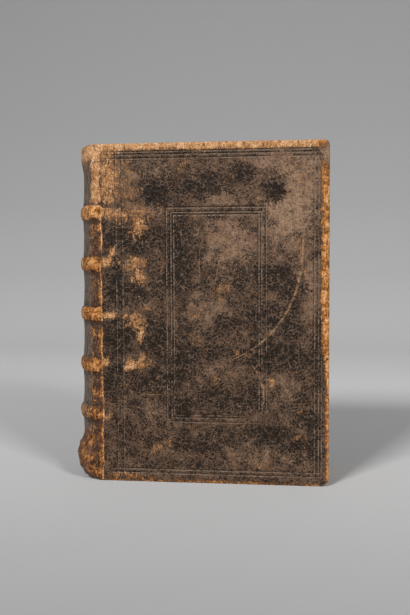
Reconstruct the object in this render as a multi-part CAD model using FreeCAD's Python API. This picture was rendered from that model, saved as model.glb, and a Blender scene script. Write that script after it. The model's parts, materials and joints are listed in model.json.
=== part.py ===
import FreeCAD, Part
import math
import os

Vector = FreeCAD.Vector

# Pages, measured from the joint to the fore-edge
page_height = 164.0
page_width = 110.4
pages_thickness = 33.0
fore_edge_hollow = 8.0

# Squares, the border by which the covers stand past the pages
head_square = 3.0
tail_square = 3.0
fore_edge_square = 3.0

# Cover boards and what is pasted on them
board_thickness = 2.4
cover_leather = 0.9
turn_in_leather = 0.5
turn_in_width = 14.0
pastedown_thickness = 0.25
pastedown_margin = 4.0
head_corner_radius = 2.5
tail_corner_radius = 4.5
outer_edge_rounding = 1.2
inner_edge_rounding = 0.35

# Clearances
paste_gap = 0.05
closed_gap = 0.3
joint_gap = 0.4
shoulder_gap = 0.3
cord_side_gap = 0.6
cut_margin = 1.0

# Rounded back: a small round at each joint and a large one between
shoulder_radius = 10.0
shoulder_turn = 55.0
lining_thickness = 0.3
lining_end = 1.0

# Raised bands over the sewing cords, counted from the tail
band_count = 5
tail_panel = 34.4
head_panel = 34.2
band_drift = (0.0, -0.75, -0.2, -0.35, 0.0)
band_width = 6.8
band_rise = 1.1
panel_rise = 0.5
band_side_share = 0.9
joint_slope = 18.0

# Head cap and the bumped, flared tail
head_round = 2.0
head_cap_depth = 0.8
tail_round = 10.0
tail_cap_depth = 1.5
tail_flare = 4.0
tail_flare_top = 15.5
tail_flare_fade = 8.0
tail_flare_ease = 0.7
endband_clearance = 0.1
head_endband_inset = 1.3

# Cord ends laced into the boards
slip_width = 5.0
slip_length = 18.0
slip_sunk = 1.0
slip_proud = 0.5
slip_hole = 3.6
ridge_start = 0.4
ridge_spread = 0.9
ridge_run = 2.2

# Blind tooling on each cover
tool_line = 0.6
tool_depth = 0.15
outer_frame_joint = 7.2
outer_frame_fore_edge = 4.2
outer_frame_head = 4.8
outer_frame_tail = 5.0
outer_frame_pitch = 3.1
inner_frame_joint = 32.7
inner_frame_fore_edge = 31.2
inner_frame_head = 31.9
inner_frame_tail = 31.2
inner_frame_pitches = (0.0, 2.2, 3.6)
stamp_offset_x = 4.7
stamp_offset_z = 6.5
stamp_petals = 8
stamp_petal_start = 1.4
stamp_petal_length = 4.4
stamp_petal_width = 1.5

# Worm hole through the leather of the tail panel
worm_hole_diameter = 0.8
worm_hole_height = 22.0
worm_hole_turn = 38.0

# Worked out from the values above
cover_height = page_height + head_square + tail_square
cover_width = page_width + fore_edge_square
board_face = cover_leather + paste_gap
board_back = board_face + board_thickness
turn_in_face = board_back + paste_gap
cover_thickness = turn_in_face + turn_in_leather
pastedown_face = cover_thickness + paste_gap
half_book = pages_thickness / 2 + closed_gap + pastedown_thickness + pastedown_face
pages_offset = cover_leather + lining_thickness + 2 * paste_gap
page_head = tail_square + page_height
turn = math.radians(shoulder_turn)
back_radius = (half_book - shoulder_radius * (1 - math.cos(turn))) / math.cos(turn)
back_bulge = shoulder_radius * math.sin(turn) + back_radius * (1 - math.sin(turn))
spine_reach = back_bulge + max(tail_flare, panel_rise + band_rise)
joint_x = (spine_reach - cover_width) / 2
band_pitch = (cover_height - tail_panel - head_panel) / (band_count - 1)
band_heights = [tail_panel + i * band_pitch + band_drift[i] for i in range(band_count)]
cord_half_width = band_width / 2 - band_side_share * cover_leather
cord_crest = panel_rise + band_rise - cover_leather - paste_gap

# The three rounds of the back: centre, radius, the turn each starts at and its sweep
round_centre = half_book - shoulder_radius
back_centre = back_radius - back_bulge
back_rounds = (
    (Vector(0, -round_centre, 0), shoulder_radius, 0.0, shoulder_turn),
    (Vector(back_centre, 0, 0), back_radius, shoulder_turn, 180 - 2 * shoulder_turn),
    (Vector(0, round_centre, 0), shoulder_radius, 180 - shoulder_turn, shoulder_turn),
)


def outward(angle):
    a = math.radians(angle)
    return Vector(-math.sin(a), -math.cos(a), 0)


def back_point(offset, angle):
    index = 0 if angle <= shoulder_turn else 1 if angle <= 180 - shoulder_turn else 2
    centre, radius = back_rounds[index][:2]
    return centre + outward(angle) * (radius + offset)


def placer(centre, radius, angle):
    direction = outward(angle)

    def place(offset, height):
        return centre + direction * (radius + offset) + Vector(0, 0, height)

    return place


def along_back(profile):
    # The same profile, turned round each of the three centres
    solids = []
    for centre, radius, first, sweep in back_rounds:
        face = Part.Face(Part.Wire(profile(placer(centre, radius, first))))
        solids.append(face.revolve(centre, Vector(0, 0, -1), sweep))
    return solids[0].fuse(solids[1:]).removeSplitter()


def line(place, a, b):
    return Part.makeLine(place(*a), place(*b))


def arc(place, a, b, c):
    return Part.Arc(place(*a), place(*b), place(*c)).toShape()


def quarter_mid(centre, radius, across, up):
    step = radius * math.sqrt(0.5)
    return (centre[0] + across * step, centre[1] + up * step)


def chain(place, corners):
    return [line(place, a, b) for a, b in zip(corners, corners[1:])]


def both_sides(shape):
    return shape.fuse(mirrored(shape))


def mirrored(shape):
    return shape.mirror(Vector(0, 0, 0), Vector(0, 1, 0))


def joint_cutter(depth, gap):
    # Clears the sector that the opened cover swings through, down to a depth
    reach = 2 * half_book
    fall = reach * math.tan(math.radians(joint_slope))
    level = depth - half_book
    corners = [
        Vector(reach, level + reach, -reach),
        Vector(-gap, level + reach, -reach),
        Vector(-gap, level, -reach),
        Vector(-gap - reach, level - fall, -reach),
        Vector(-gap - reach, level - fall - reach, -reach),
        Vector(reach, level - fall - reach, -reach),
    ]
    face = Part.Face(Part.makePolygon(corners + corners[:1]))
    return both_sides(face.extrude(Vector(0, 0, cover_height + 2 * reach)))


def band_arch(place, height, base, half_width, rise):
    arch = Part.Ellipse(
        place(base, height + half_width), place(base + rise, height), place(base, height)
    )
    return arch.toShape(0, math.pi)


def outer_back_edges(place):
    # From the floor at the tail up to the head, over every band
    tail_centre = (tail_flare - tail_round, tail_round)
    half_band = band_width / 2
    edges = [
        line(place, (tail_centre[0] - tail_cap_depth, 0), (tail_centre[0], 0)),
        arc(
            place,
            (tail_centre[0], 0),
            quarter_mid(tail_centre, tail_round, 1, -1),
            (tail_flare, tail_round),
        ),
        line(place, (tail_flare, tail_round), (tail_flare, tail_flare_top)),
    ]
    first = band_heights[0] - half_band
    fade = Part.BezierCurve()
    fade.setPoles([
        place(tail_flare, tail_flare_top),
        place(tail_flare, tail_flare_top + tail_flare_ease * tail_flare_fade),
        place(-panel_rise, tail_flare_top + tail_flare_fade),
        place(panel_rise, first),
    ])
    edges.append(fade.toShape())
    for i, height in enumerate(band_heights):
        edges.append(band_arch(place, height, panel_rise, half_band, band_rise))
        start = height + half_band
        if i + 1 < band_count:
            end = band_heights[i + 1] - half_band
            edges.append(arc(place, (panel_rise, start), (0, (start + end) / 2), (panel_rise, end)))
        else:
            end = cover_height - head_round
            edges.append(arc(place, (panel_rise, start), (0, (start + end) / 2), (0, end)))
    head_centre = (-head_round, cover_height - head_round)
    edges.append(arc(
        place,
        (0, cover_height - head_round),
        quarter_mid(head_centre, head_round, 1, 1),
        (-head_round, cover_height),
    ))
    return edges


def leather_section(place):
    # The outer edges, then back down the inside to the floor
    head_inner = head_round - cover_leather
    head_centre = (-head_round, cover_height - head_round)
    tail_inner = tail_round - cover_leather
    tail_centre = (tail_flare - tail_round, tail_round)
    tail_side = -cover_leather - tail_centre[0]
    tail_meet = tail_round - math.sqrt(tail_inner ** 2 - tail_side ** 2)
    mid_angle = (math.acos(tail_side / tail_inner) + math.pi / 2) / 2
    tail_mid = (
        tail_centre[0] + tail_inner * math.cos(mid_angle),
        tail_centre[1] - tail_inner * math.sin(mid_angle),
    )
    head_lip = -head_round - head_cap_depth
    tail_lip = tail_centre[0] - tail_cap_depth
    head_under = cover_height - cover_leather
    edges = outer_back_edges(place)
    edges += chain(place, [
        (-head_round, cover_height),
        (head_lip, cover_height),
        (head_lip, head_under),
        (-head_round, head_under),
    ])
    edges.append(arc(
        place,
        (-head_round, head_under),
        quarter_mid(head_centre, head_inner, 1, 1),
        (-cover_leather, cover_height - head_round),
    ))
    edges.append(line(place, (-cover_leather, cover_height - head_round), (-cover_leather, tail_meet)))
    edges.append(arc(place, (-cover_leather, tail_meet), tail_mid, (tail_centre[0], cover_leather)))
    edges += chain(place, [
        (tail_centre[0], cover_leather),
        (tail_lip, cover_leather),
        (tail_lip, 0),
    ])
    return edges


def sewing_cord(height, room):
    # One raised cord across the back; room widens it into the leather's channel
    base = room - cover_leather - lining_thickness - paste_gap
    waist = -cover_leather
    half_width = cord_half_width + room
    rise = cord_crest + room - waist

    def section(place):
        low = height - half_width
        high = height + half_width
        return [
            line(place, (base, low), (waist, low)),
            band_arch(place, height, waist, half_width, rise).reversed(),
            line(place, (waist, high), (base, high)),
            line(place, (base, high), (base, low)),
        ]

    return along_back(section).cut(joint_cutter(cover_leather + paste_gap - room, shoulder_gap))


def spine_leather():
    shell = along_back(leather_section).cut(joint_cutter(0, joint_gap / 2))
    for height in band_heights:
        shell = shell.cut(sewing_cord(height, paste_gap))
    start = back_point(tail_flare + band_rise, worm_hole_turn)
    depth = tail_flare + band_rise + cover_leather + lining_thickness
    hole = Part.makeCylinder(
        worm_hole_diameter / 2,
        depth,
        start + Vector(0, 0, worm_hole_height),
        outward(worm_hole_turn) * -1,
    )
    return shell.cut(hole)


def spine_lining(index):
    # One lining panel between two cords, or between a cord and the end of the pages
    reach = cord_half_width + cord_side_gap
    low = tail_square + lining_end if index == 0 else band_heights[index - 1] + reach
    high = page_head - lining_end if index == band_count else band_heights[index] - reach
    outer = -cover_leather - paste_gap
    inner = outer - lining_thickness

    def section(place):
        return chain(place, [(outer, low), (outer, high), (inner, high), (inner, low), (outer, low)])

    return along_back(section).cut(joint_cutter(0, shoulder_gap))


def endband(offset, height, radius):
    solids = []
    for centre, round_radius, first, sweep in back_rounds:
        middle = centre + outward(first) * (round_radius + offset) + Vector(0, 0, height)
        circle = Part.Circle(middle, outward(first + 90), radius)
        face = Part.Face(Part.Wire(circle.toShape()))
        solids.append(face.revolve(centre, Vector(0, 0, -1), sweep))
    return solids[0].fuse(solids[1:]).removeSplitter().cut(joint_cutter(0, shoulder_gap))


def head_endband():
    radius = (head_square - cover_leather) / 2 - endband_clearance
    return endband(-pages_offset - head_endband_inset, page_head + endband_clearance + radius, radius)


def tail_endband():
    radius = (tail_square - cover_leather) / 2 - endband_clearance
    return endband(tail_flare - tail_round, cover_leather + endband_clearance + radius, radius)


def text_block():
    # All the pages as one solid, backed with a shoulder at each joint
    inner_round = shoulder_radius - pages_offset
    shoulder_y = round_centre + math.sqrt(inner_round ** 2 - shoulder_gap ** 2)
    edge_turn = math.degrees(math.asin(shoulder_gap / inner_round))
    half_pages = pages_thickness / 2

    def at(angle):
        return back_point(-pages_offset, angle)

    front_corner = Vector(-shoulder_gap, -shoulder_y, 0)
    rear_corner = Vector(-shoulder_gap, shoulder_y, 0)
    meet = at(shoulder_turn)
    rear_meet = Vector(meet.x, -meet.y, 0)
    front_mid = at((edge_turn + shoulder_turn) / 2)
    rear_mid = Vector(front_mid.x, -front_mid.y, 0)
    edges = [
        Part.makeLine(Vector(page_width, -half_pages, 0), Vector(-shoulder_gap, -half_pages, 0)),
        Part.makeLine(Vector(-shoulder_gap, -half_pages, 0), front_corner),
        Part.Arc(front_corner, front_mid, meet).toShape(),
        Part.Arc(meet, at(90), rear_meet).toShape(),
        Part.Arc(rear_meet, rear_mid, rear_corner).toShape(),
        Part.makeLine(rear_corner, Vector(-shoulder_gap, half_pages, 0)),
        Part.makeLine(Vector(-shoulder_gap, half_pages, 0), Vector(page_width, half_pages, 0)),
        Part.Arc(
            Vector(page_width, half_pages, 0),
            Vector(page_width - fore_edge_hollow, 0, 0),
            Vector(page_width, -half_pages, 0),
        ).toShape(),
    ]
    block = Part.Face(Part.Wire(edges)).extrude(Vector(0, 0, page_height))
    block.translate(Vector(0, 0, tail_square))
    return block


def slab(left, right, bottom, top, outer, inner):
    # A block of the front cover, with depths counted inward from its outer face
    corner = Vector(left, outer - half_book, bottom)
    return Part.makeBox(right - left, inner - outer, top - bottom, corner)


def cover_plate(left, inset, outer, inner):
    # The cover's outline with its worn fore-edge corners, inset all round
    right = cover_width - inset
    bottom = inset
    top = cover_height - inset
    tail_r = tail_corner_radius - inset
    head_r = head_corner_radius - inset
    y = outer - half_book

    def at(x, z):
        return Vector(x, y, z)

    tail_mid = quarter_mid((right - tail_r, bottom + tail_r), tail_r, 1, -1)
    head_mid = quarter_mid((right - head_r, top - head_r), head_r, 1, 1)
    edges = [
        Part.makeLine(at(left, bottom), at(right - tail_r, bottom)),
        Part.Arc(at(right - tail_r, bottom), at(*tail_mid), at(right, bottom + tail_r)).toShape(),
        Part.makeLine(at(right, bottom + tail_r), at(right, top - head_r)),
        Part.Arc(at(right, top - head_r), at(*head_mid), at(right - head_r, top)).toShape(),
        Part.makeLine(at(right - head_r, top), at(left, top)),
        Part.makeLine(at(left, top), at(left, bottom)),
    ]
    return Part.Face(Part.Wire(edges)).extrude(Vector(0, inner - outer, 0))


def rim_edges(plate, depth):
    # The edges of the face at one depth, apart from the one at the joint
    level = depth - half_book
    found = []
    for edge in plate.Edges:
        box = edge.BoundBox
        if abs(box.YMin - level) < 0.01 and abs(box.YMax - level) < 0.01 and box.XMax > joint_gap:
            found.append(edge)
    return found


def tooled_line(left, right, bottom, top):
    outer = slab(left, right, bottom, top, -tool_depth, tool_depth)
    inner = slab(
        left + tool_line, right - tool_line, bottom + tool_line, top - tool_line,
        -2 * tool_depth, 2 * tool_depth,
    )
    return outer.cut(inner)


def tooled_frames():
    frames = []
    for inset in (0.0, outer_frame_pitch):
        frames.append(tooled_line(
            outer_frame_joint + inset,
            cover_width - outer_frame_fore_edge - inset,
            outer_frame_tail + inset,
            cover_height - outer_frame_head - inset,
        ))
    for inset in inner_frame_pitches:
        frames.append(tooled_line(
            inner_frame_joint + inset,
            cover_width - inner_frame_fore_edge - inset,
            inner_frame_tail + inset,
            cover_height - inner_frame_head - inset,
        ))
    return frames


def corner_stamps():
    # A rosette of pointed petals outside each corner of the inner frame
    petals = []
    lefts = (inner_frame_joint - stamp_offset_x, cover_width - inner_frame_fore_edge + stamp_offset_x)
    heights = (inner_frame_tail - stamp_offset_z, cover_height - inner_frame_head + stamp_offset_z)
    half_length = stamp_petal_length / 2
    middle = stamp_petal_start + half_length
    for x in lefts:
        for z in heights:
            for i in range(stamp_petals):
                corners = [
                    Vector(stamp_petal_start, 0, 0),
                    Vector(middle, 0, stamp_petal_width / 2),
                    Vector(stamp_petal_start + stamp_petal_length, 0, 0),
                    Vector(middle, 0, -stamp_petal_width / 2),
                    Vector(stamp_petal_start, 0, 0),
                ]
                petal = Part.Face(Part.makePolygon(corners)).extrude(Vector(0, 2 * tool_depth, 0))
                petal.rotate(Vector(0, 0, 0), Vector(0, 1, 0), 360 * i / stamp_petals)
                petal.translate(Vector(x, -half_book - tool_depth, z))
                petals.append(petal)
    return petals


def slip_ridge(start, end, half_width, base_depth, height):
    # A low hump that slopes up from its base on all four sides
    run = ridge_run * height
    level = base_depth - half_book
    return Part.makeWedge(
        start + run, level - height, -half_width + run / 2, -half_width, start,
        end - run / 2, level, half_width - run / 2, half_width, end,
    )


def lacing_slip(height, room):
    # A cord end: sunk in the board's outer face, a little proud, and down through a hole
    left = joint_gap + room
    bar = slab(left - 2 * room, slip_length + room, -slip_width / 2 - room, slip_width / 2 + room,
               board_face - room, board_face + slip_sunk + room)
    hump = slip_ridge(ridge_start + joint_gap - room, slip_length + room,
                      slip_width / 2 + room, board_face, slip_proud + room)
    peg = Part.makeCylinder(
        slip_hole / 2 + room,
        board_back - board_face,
        Vector(slip_length - slip_hole / 2, board_face - half_book, 0),
        Vector(0, 1, 0),
    )
    slip = bar.fuse([hump, peg]).removeSplitter()
    slip.translate(Vector(0, 0, height))
    return slip


def cover_board():
    board = cover_plate(joint_gap, cover_leather + paste_gap, board_face, board_back)
    for height in band_heights:
        board = board.cut(lacing_slip(height, paste_gap))
        board = board.cut(slab(0, joint_gap + slip_sunk, height - slip_width / 2 - paste_gap,
                               height + slip_width / 2 + paste_gap, 0, board_face + slip_sunk + paste_gap))
    return board


def leather_over_board():
    left = joint_gap / 2
    skin = cover_plate(left, 0, 0, cover_thickness)
    skin = skin.makeFillet(outer_edge_rounding, rim_edges(skin, 0))
    skin = skin.makeFillet(inner_edge_rounding, rim_edges(skin, cover_thickness))
    skin = skin.cut(tooled_frames() + corner_stamps())
    ridges = []
    for height in band_heights:
        ridge = slip_ridge(ridge_start, slip_length + 2 * ridge_spread,
                           slip_width / 2 + ridge_spread, tool_depth, slip_proud + tool_depth)
        ridge.translate(Vector(0, 0, height))
        ridges.append(ridge)
    skin = skin.fuse(ridges)
    skin = skin.cut(cover_plate(-left, cover_leather, cover_leather, turn_in_face))
    skin = skin.cut(slab(-left, cover_width - turn_in_width, turn_in_width,
                         cover_height - turn_in_width, board_back, 2 * cover_thickness))
    for height in band_heights:
        skin = skin.cut(lacing_slip(height, paste_gap))
    return skin


def pastedown():
    # Endpaper pasted over the turn-ins, sinking to the board inside them
    left = joint_gap + paste_gap
    right = cover_width - pastedown_margin
    bottom = pastedown_margin
    top = cover_height - pastedown_margin
    inner = pastedown_face + pastedown_thickness
    step = turn_in_width + paste_gap
    sheet = slab(left, right, bottom, top, pastedown_face, inner)
    sheet = sheet.fuse(slab(left, cover_width - step, step, cover_height - step, turn_in_face, inner))
    well = step + pastedown_thickness
    sheet = sheet.cut(slab(left - cut_margin, cover_width - well, well, cover_height - well,
                           turn_in_face + pastedown_thickness, inner + cut_margin))
    return sheet.removeSplitter()


def build():
    pieces = {
        "text_block": text_block(),
        "spine_leather": spine_leather(),
        "head_endband": head_endband(),
        "tail_endband": tail_endband(),
    }
    for i in range(band_count + 1):
        pieces["spine_lining_%d" % (i + 1)] = spine_lining(i)
    for i, height in enumerate(band_heights):
        pieces["sewing_cord_%d" % (i + 1)] = sewing_cord(height, 0)
    cover = {
        "leather": leather_over_board(),
        "board": cover_board(),
        "pastedown": pastedown(),
    }
    for i, height in enumerate(band_heights):
        cover["lacing_slip_%d" % (i + 1)] = lacing_slip(height, 0)
    for name, shape in cover.items():
        pieces["front_" + name] = shape
        pieces["back_" + name] = mirrored(shape)
    return pieces


os.makedirs("parts", exist_ok=True)
for name, shape in build().items():
    shape.translate(Vector(joint_x, 0, 0))
    shape.exportStep("parts/%s.step" % name)
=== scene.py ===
import bpy
import json
import math
import numpy as np
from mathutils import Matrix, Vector, noise


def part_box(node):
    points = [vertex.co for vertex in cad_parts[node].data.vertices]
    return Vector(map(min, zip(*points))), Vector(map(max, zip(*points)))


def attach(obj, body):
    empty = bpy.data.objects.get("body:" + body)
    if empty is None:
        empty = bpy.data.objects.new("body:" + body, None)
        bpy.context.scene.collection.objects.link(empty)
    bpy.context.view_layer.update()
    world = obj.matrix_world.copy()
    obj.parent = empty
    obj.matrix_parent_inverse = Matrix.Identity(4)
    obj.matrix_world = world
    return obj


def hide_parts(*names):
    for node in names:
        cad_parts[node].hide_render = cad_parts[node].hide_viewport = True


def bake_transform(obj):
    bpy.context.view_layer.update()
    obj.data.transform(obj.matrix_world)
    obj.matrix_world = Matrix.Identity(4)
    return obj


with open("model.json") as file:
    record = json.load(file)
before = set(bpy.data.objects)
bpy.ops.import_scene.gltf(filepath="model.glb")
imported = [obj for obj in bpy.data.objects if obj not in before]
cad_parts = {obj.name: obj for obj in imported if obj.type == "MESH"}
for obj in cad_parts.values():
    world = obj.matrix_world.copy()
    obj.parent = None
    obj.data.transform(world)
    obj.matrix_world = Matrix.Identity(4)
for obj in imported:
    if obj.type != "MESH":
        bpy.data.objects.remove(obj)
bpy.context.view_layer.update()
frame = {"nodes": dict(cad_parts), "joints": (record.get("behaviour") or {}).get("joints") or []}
mm = 0.001

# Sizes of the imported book, in millimetres. Depths are counted in from a cover's outer face.
hinge = [joint for joint in frame["joints"] if joint["name"] == "front_cover_hinge"][0]
jointX = hinge["pos_m"][0] / mm
halfBook = -hinge["pos_m"][1] / mm
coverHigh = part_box("front_leather")[1].z / mm
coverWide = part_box("front_leather")[1].x / mm - jointX
pageLow, pageTop = (corner.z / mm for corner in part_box("text_block"))
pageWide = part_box("text_block")[1].x / mm - jointX
pageHalf = 16.5
bandBoxes = [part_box("sewing_cord_%d" % i) for i in range(1, 6)]
bandHeights = [(low.z + high.z) / 2 / mm for low, high in bandBoxes]
coverDeep = 3.9
pasteDepth = 4.2
sunkDepth = 3.65

back = {  # the rounded back, as the leather's outer face
    "shoulderRadius": 10.0,
    "shoulderTurn": math.radians(55),
    "pagesIn": 1.3,
}
back["radius"] = halfBook - back["shoulderRadius"] * (1 - math.cos(back["shoulderTurn"]))
back["radius"] /= math.cos(back["shoulderTurn"])
back["bulge"] = back["shoulderRadius"] * math.sin(back["shoulderTurn"])
back["bulge"] += back["radius"] * (1 - math.sin(back["shoulderTurn"]))
back["shoulderRun"] = back["shoulderRadius"] * back["shoulderTurn"]
back["halfRun"] = back["shoulderRun"] + back["radius"] * (math.pi / 2 - back["shoulderTurn"])


def smooth(a, b, x):
    t = np.clip((np.asarray(x, float) - a) / (b - a), 0, 1)
    return t * t * (3 - 2 * t)


def fade(a, b, x):
    return 1 - smooth(a, b, x)


def bell(x, width):
    return np.exp(-((x / width) ** 2))


def wander(x, y, size, seed):
    # smooth noise from -1 to 1 with features of a given size
    places = np.stack([np.asarray(x, float) / size, np.asarray(y, float) / size], 1)
    return np.array([noise.noise(Vector((px + seed, py - seed, 7 * seed))) for px, py in places])


def addPiece(name, mesh):
    piece = bpy.data.objects.new(name, mesh)
    bpy.context.scene.collection.objects.link(piece)
    return piece


def meshPiece(name, points, faces, material):
    # points in millimetres, faces as lists of their indices
    mesh = bpy.data.meshes.new(name)
    mesh.from_pydata([(x * mm, y * mm, z * mm) for x, y, z in points], [], faces)
    mesh.update()
    mesh.materials.append(material)
    mesh.shade_smooth()
    return addPiece(name, mesh)


def giveValues(piece, name, values, kind="FLOAT"):
    layer = piece.data.attributes.new(name, kind, "POINT")
    key = "vector" if kind == "FLOAT_VECTOR" else "value"
    layer.data.foreach_set(key, np.asarray(values, np.float32).ravel())


# Shader helpers

def node(tree, kind, inputs=None, **settings):
    made = tree.nodes.new(kind)
    for key, value in settings.items():
        setattr(made, key, value)
    for key, value in (inputs or {}).items():
        if isinstance(value, bpy.types.NodeSocket):
            tree.links.new(value, made.inputs[key])
        else:
            made.inputs[key].default_value = value
    return made


def calc(tree, operation, a, b=0.0, clamp=False):
    return node(tree, "ShaderNodeMath", {0: a, 1: b}, operation=operation, use_clamp=clamp).outputs[0]


def times(tree, a, b):
    return calc(tree, "MULTIPLY", a, b)


def minus(tree, a, b, clamp=False):
    return calc(tree, "SUBTRACT", a, b, clamp)


def addUp(tree, start, *terms):
    # start plus each (value, weight)
    total = start
    for value, weight in terms:
        inputs = {0: value, 1: weight, 2: total}
        total = node(tree, "ShaderNodeMath", inputs, operation="MULTIPLY_ADD").outputs[0]
    return total


def vectorCalc(tree, operation, a, b, output=0):
    return node(tree, "ShaderNodeVectorMath", {0: a, 1: b}, operation=operation).outputs[output]


def blendColour(tree, amount, a, b, way="MIX"):
    # from a to b, each a socket or a colour
    a, b = ((*colour, 1) if isinstance(colour, tuple) else colour for colour in (a, b))
    mix = node(tree, "ShaderNodeMix", {0: amount, 6: a, 7: b}, data_type="RGBA", blend_type=way)
    return mix.outputs[2]


def spread(tree, value, low, high, newLow=0.0, newHigh=1.0):
    inputs = {"Value": value, "From Min": low, "From Max": high, "To Min": newLow, "To Max": newHigh}
    return node(tree, "ShaderNodeMapRange", inputs, interpolation_type="SMOOTHSTEP").outputs[0]


def cloud(tree, vector, size, detail=3.0, rough=0.55, twist=0.0, stretch=None, shift=None):
    # noise about 0 with features of a given size in the vector's units
    if stretch:
        vector = vectorCalc(tree, "MULTIPLY", vector, stretch)
    if shift:
        vector = vectorCalc(tree, "ADD", vector, shift)
    inputs = {"Vector": vector, "Scale": 1 / size, "Detail": detail, "Roughness": rough, "Distortion": twist}
    made = node(tree, "ShaderNodeTexNoise", inputs).outputs["Fac"]
    return addUp(tree, -2.0, (made, 4.0))


def ramp(tree, value, stops):
    made = node(tree, "ShaderNodeValToRGB", {"Fac": value})
    band = made.color_ramp
    while len(band.elements) < len(stops):
        band.elements.new(1.0)
    for element, (place, colour) in zip(band.elements, stops):
        element.position = place
        element.color = (*colour, 1)
    return made.outputs["Color"]


def twoTones(tree, value, low, high):
    return ramp(tree, value, [(0.1, low), (0.9, high)])


def attribute(tree, name, output="Fac"):
    return node(tree, "ShaderNodeAttribute", attribute_name=name).outputs[output]


def objectPlace(tree, stretch=(1, 1, 1)):
    # the place on the object, in millimetres
    place = node(tree, "ShaderNodeTexCoord").outputs["Object"]
    return vectorCalc(tree, "MULTIPLY", place, tuple(part / mm for part in stretch))


def newGroup(name, inputs, output):
    # a group, its inputs and its one result
    group = bpy.data.node_groups.new(name, "ShaderNodeTree")
    for label, value in inputs.items():
        kind = "NodeSocketVector" if value is None else "NodeSocketFloat"
        socket = group.interface.new_socket(label, in_out="INPUT", socket_type=kind)
        if value is not None:
            socket.default_value = value
    group.interface.new_socket(output, in_out="OUTPUT", socket_type="NodeSocketFloat")
    given = group.nodes.new("NodeGroupInput").outputs
    return group, given, group.nodes.new("NodeGroupOutput").inputs[output]


def useGroup(tree, group, inputs):
    # the first result of a group
    return node(tree, "ShaderNodeGroup", inputs, node_tree=group).outputs[0]


def newMaterial(name):
    material = bpy.data.materials.new(name)
    material.use_nodes = True
    tree = material.node_tree
    return material, tree, tree.nodes["Principled BSDF"].inputs


def dressShader(tree, shader, colour, roughness, specular=0.5, height=None, distance=0.0):
    # gives a surface its colour, how rough and how shiny it is, and its fine relief
    tree.links.new(colour, shader["Base Color"])
    if isinstance(roughness, float):
        shader["Roughness"].default_value = roughness
    else:
        tree.links.new(roughness, shader["Roughness"])
    shader["Specular IOR Level"].default_value = specular
    if height is not None:
        bump = node(tree, "ShaderNodeBump", {"Height": height, "Distance": distance, "Strength": 1.0})
        tree.links.new(bump.outputs["Normal"], shader["Normal"])


def makeGrainGroup():
    # pores and fine wrinkles as a height
    inputs = {"Vector": None, "Pore Size": 0.5, "Wrinkle Size": 2.2}
    group, given, result = newGroup("hideGrain", inputs, "Height")
    poreScale = calc(group, "DIVIDE", 1.0, given["Pore Size"])
    inputs = {"Vector": given["Vector"], "Scale": poreScale, "Randomness": 0.9}
    cells = node(group, "ShaderNodeTexVoronoi", inputs).outputs["Distance"]
    pores = spread(group, cells, 0.15, 0.75)
    wrinkleScale = calc(group, "DIVIDE", 1.0, given["Wrinkle Size"])
    inputs = {"Vector": given["Vector"], "Scale": wrinkleScale, "Detail": 6.0, "Roughness": 0.7,
              "Distortion": 0.4}
    wrinkles = node(group, "ShaderNodeTexNoise", inputs).outputs["Fac"]
    group.links.new(addUp(group, times(group, wrinkles, 0.9), (pores, -0.4)), result)
    return group


def makeCrackleGroup():
    # fine cracks between islands of dried surface
    inputs = {"Vector": None, "Cell Size": 1.6, "Crack Width": 0.1}
    group, given, result = newGroup("crackle", inputs, "Mask")
    scale = calc(group, "DIVIDE", 1.0, given["Cell Size"])
    inputs = {"Vector": given["Vector"], "Scale": 0.9, "Detail": 3.0, "Roughness": 0.6}
    warp = node(group, "ShaderNodeTexNoise", inputs).outputs["Color"]
    bent = vectorCalc(group, "MULTIPLY_ADD", warp, (1.4, 1.4, 1.4))
    bent.node.inputs[2].default_value = (0, 0, 0)
    group.links.new(given["Vector"], bent.node.inputs[2])
    inputs = {"Vector": bent, "Scale": scale}
    edge = node(group, "ShaderNodeTexVoronoi", inputs, feature="DISTANCE_TO_EDGE").outputs["Distance"]
    crack = spread(group, calc(group, "DIVIDE", edge, given["Crack Width"]), 0.3, 1.3, 1.0, 0.0)
    group.links.new(crack, result)
    return group


def makeScratchGroup():
    # a thin mark along a circle's arc, broken up and faded at its ends
    group, given, result = newGroup("arcScratch", {
        "Vector": None, "Centre": None, "Radius": 40.0, "Middle": None, "Half Length": 10.0, "Width": 0.5,
    }, "Mask")
    ring = vectorCalc(group, "DISTANCE", given["Vector"], given["Centre"], "Value")
    off = calc(group, "ABSOLUTE", minus(group, ring, given["Radius"]))
    reach = vectorCalc(group, "DISTANCE", given["Vector"], given["Middle"], "Value")
    near = minus(group, 1.0, calc(group, "DIVIDE", reach, given["Half Length"]), clamp=True)
    wide = times(group, given["Width"], calc(group, "SQRT", near))
    off = calc(group, "DIVIDE", off, calc(group, "ADD", wide, 0.001))
    line = minus(group, 1.0, off, clamp=True)
    gaps = cloud(group, given["Vector"], 2.2, 4.0, 0.7)
    group.links.new(times(group, line, spread(group, gaps, -0.35, 0.15)), result)
    return group


def makeRuledGroup():
    # three parallel tool lines, given how far a point is across and along them
    group, given, result = newGroup("ruledLines", {
        "Across": 0.0, "Along": 0.0, "First": 0.0, "Second": 0.0, "Third": 0.0, "Start": 0.0, "End": 100.0,
    }, "Distance")
    nearest = None
    for label in ("First", "Second", "Third"):
        off = calc(group, "ABSOLUTE", minus(group, given["Across"], given[label]))
        nearest = off if nearest is None else calc(group, "MINIMUM", nearest, off)
    before = minus(group, given["Start"], given["Along"])
    after = minus(group, given["Along"], given["End"])
    outside = calc(group, "MAXIMUM", calc(group, "MAXIMUM", before, after), 0.0)
    group.links.new(calc(group, "ADD", nearest, outside), result)
    return group


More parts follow.
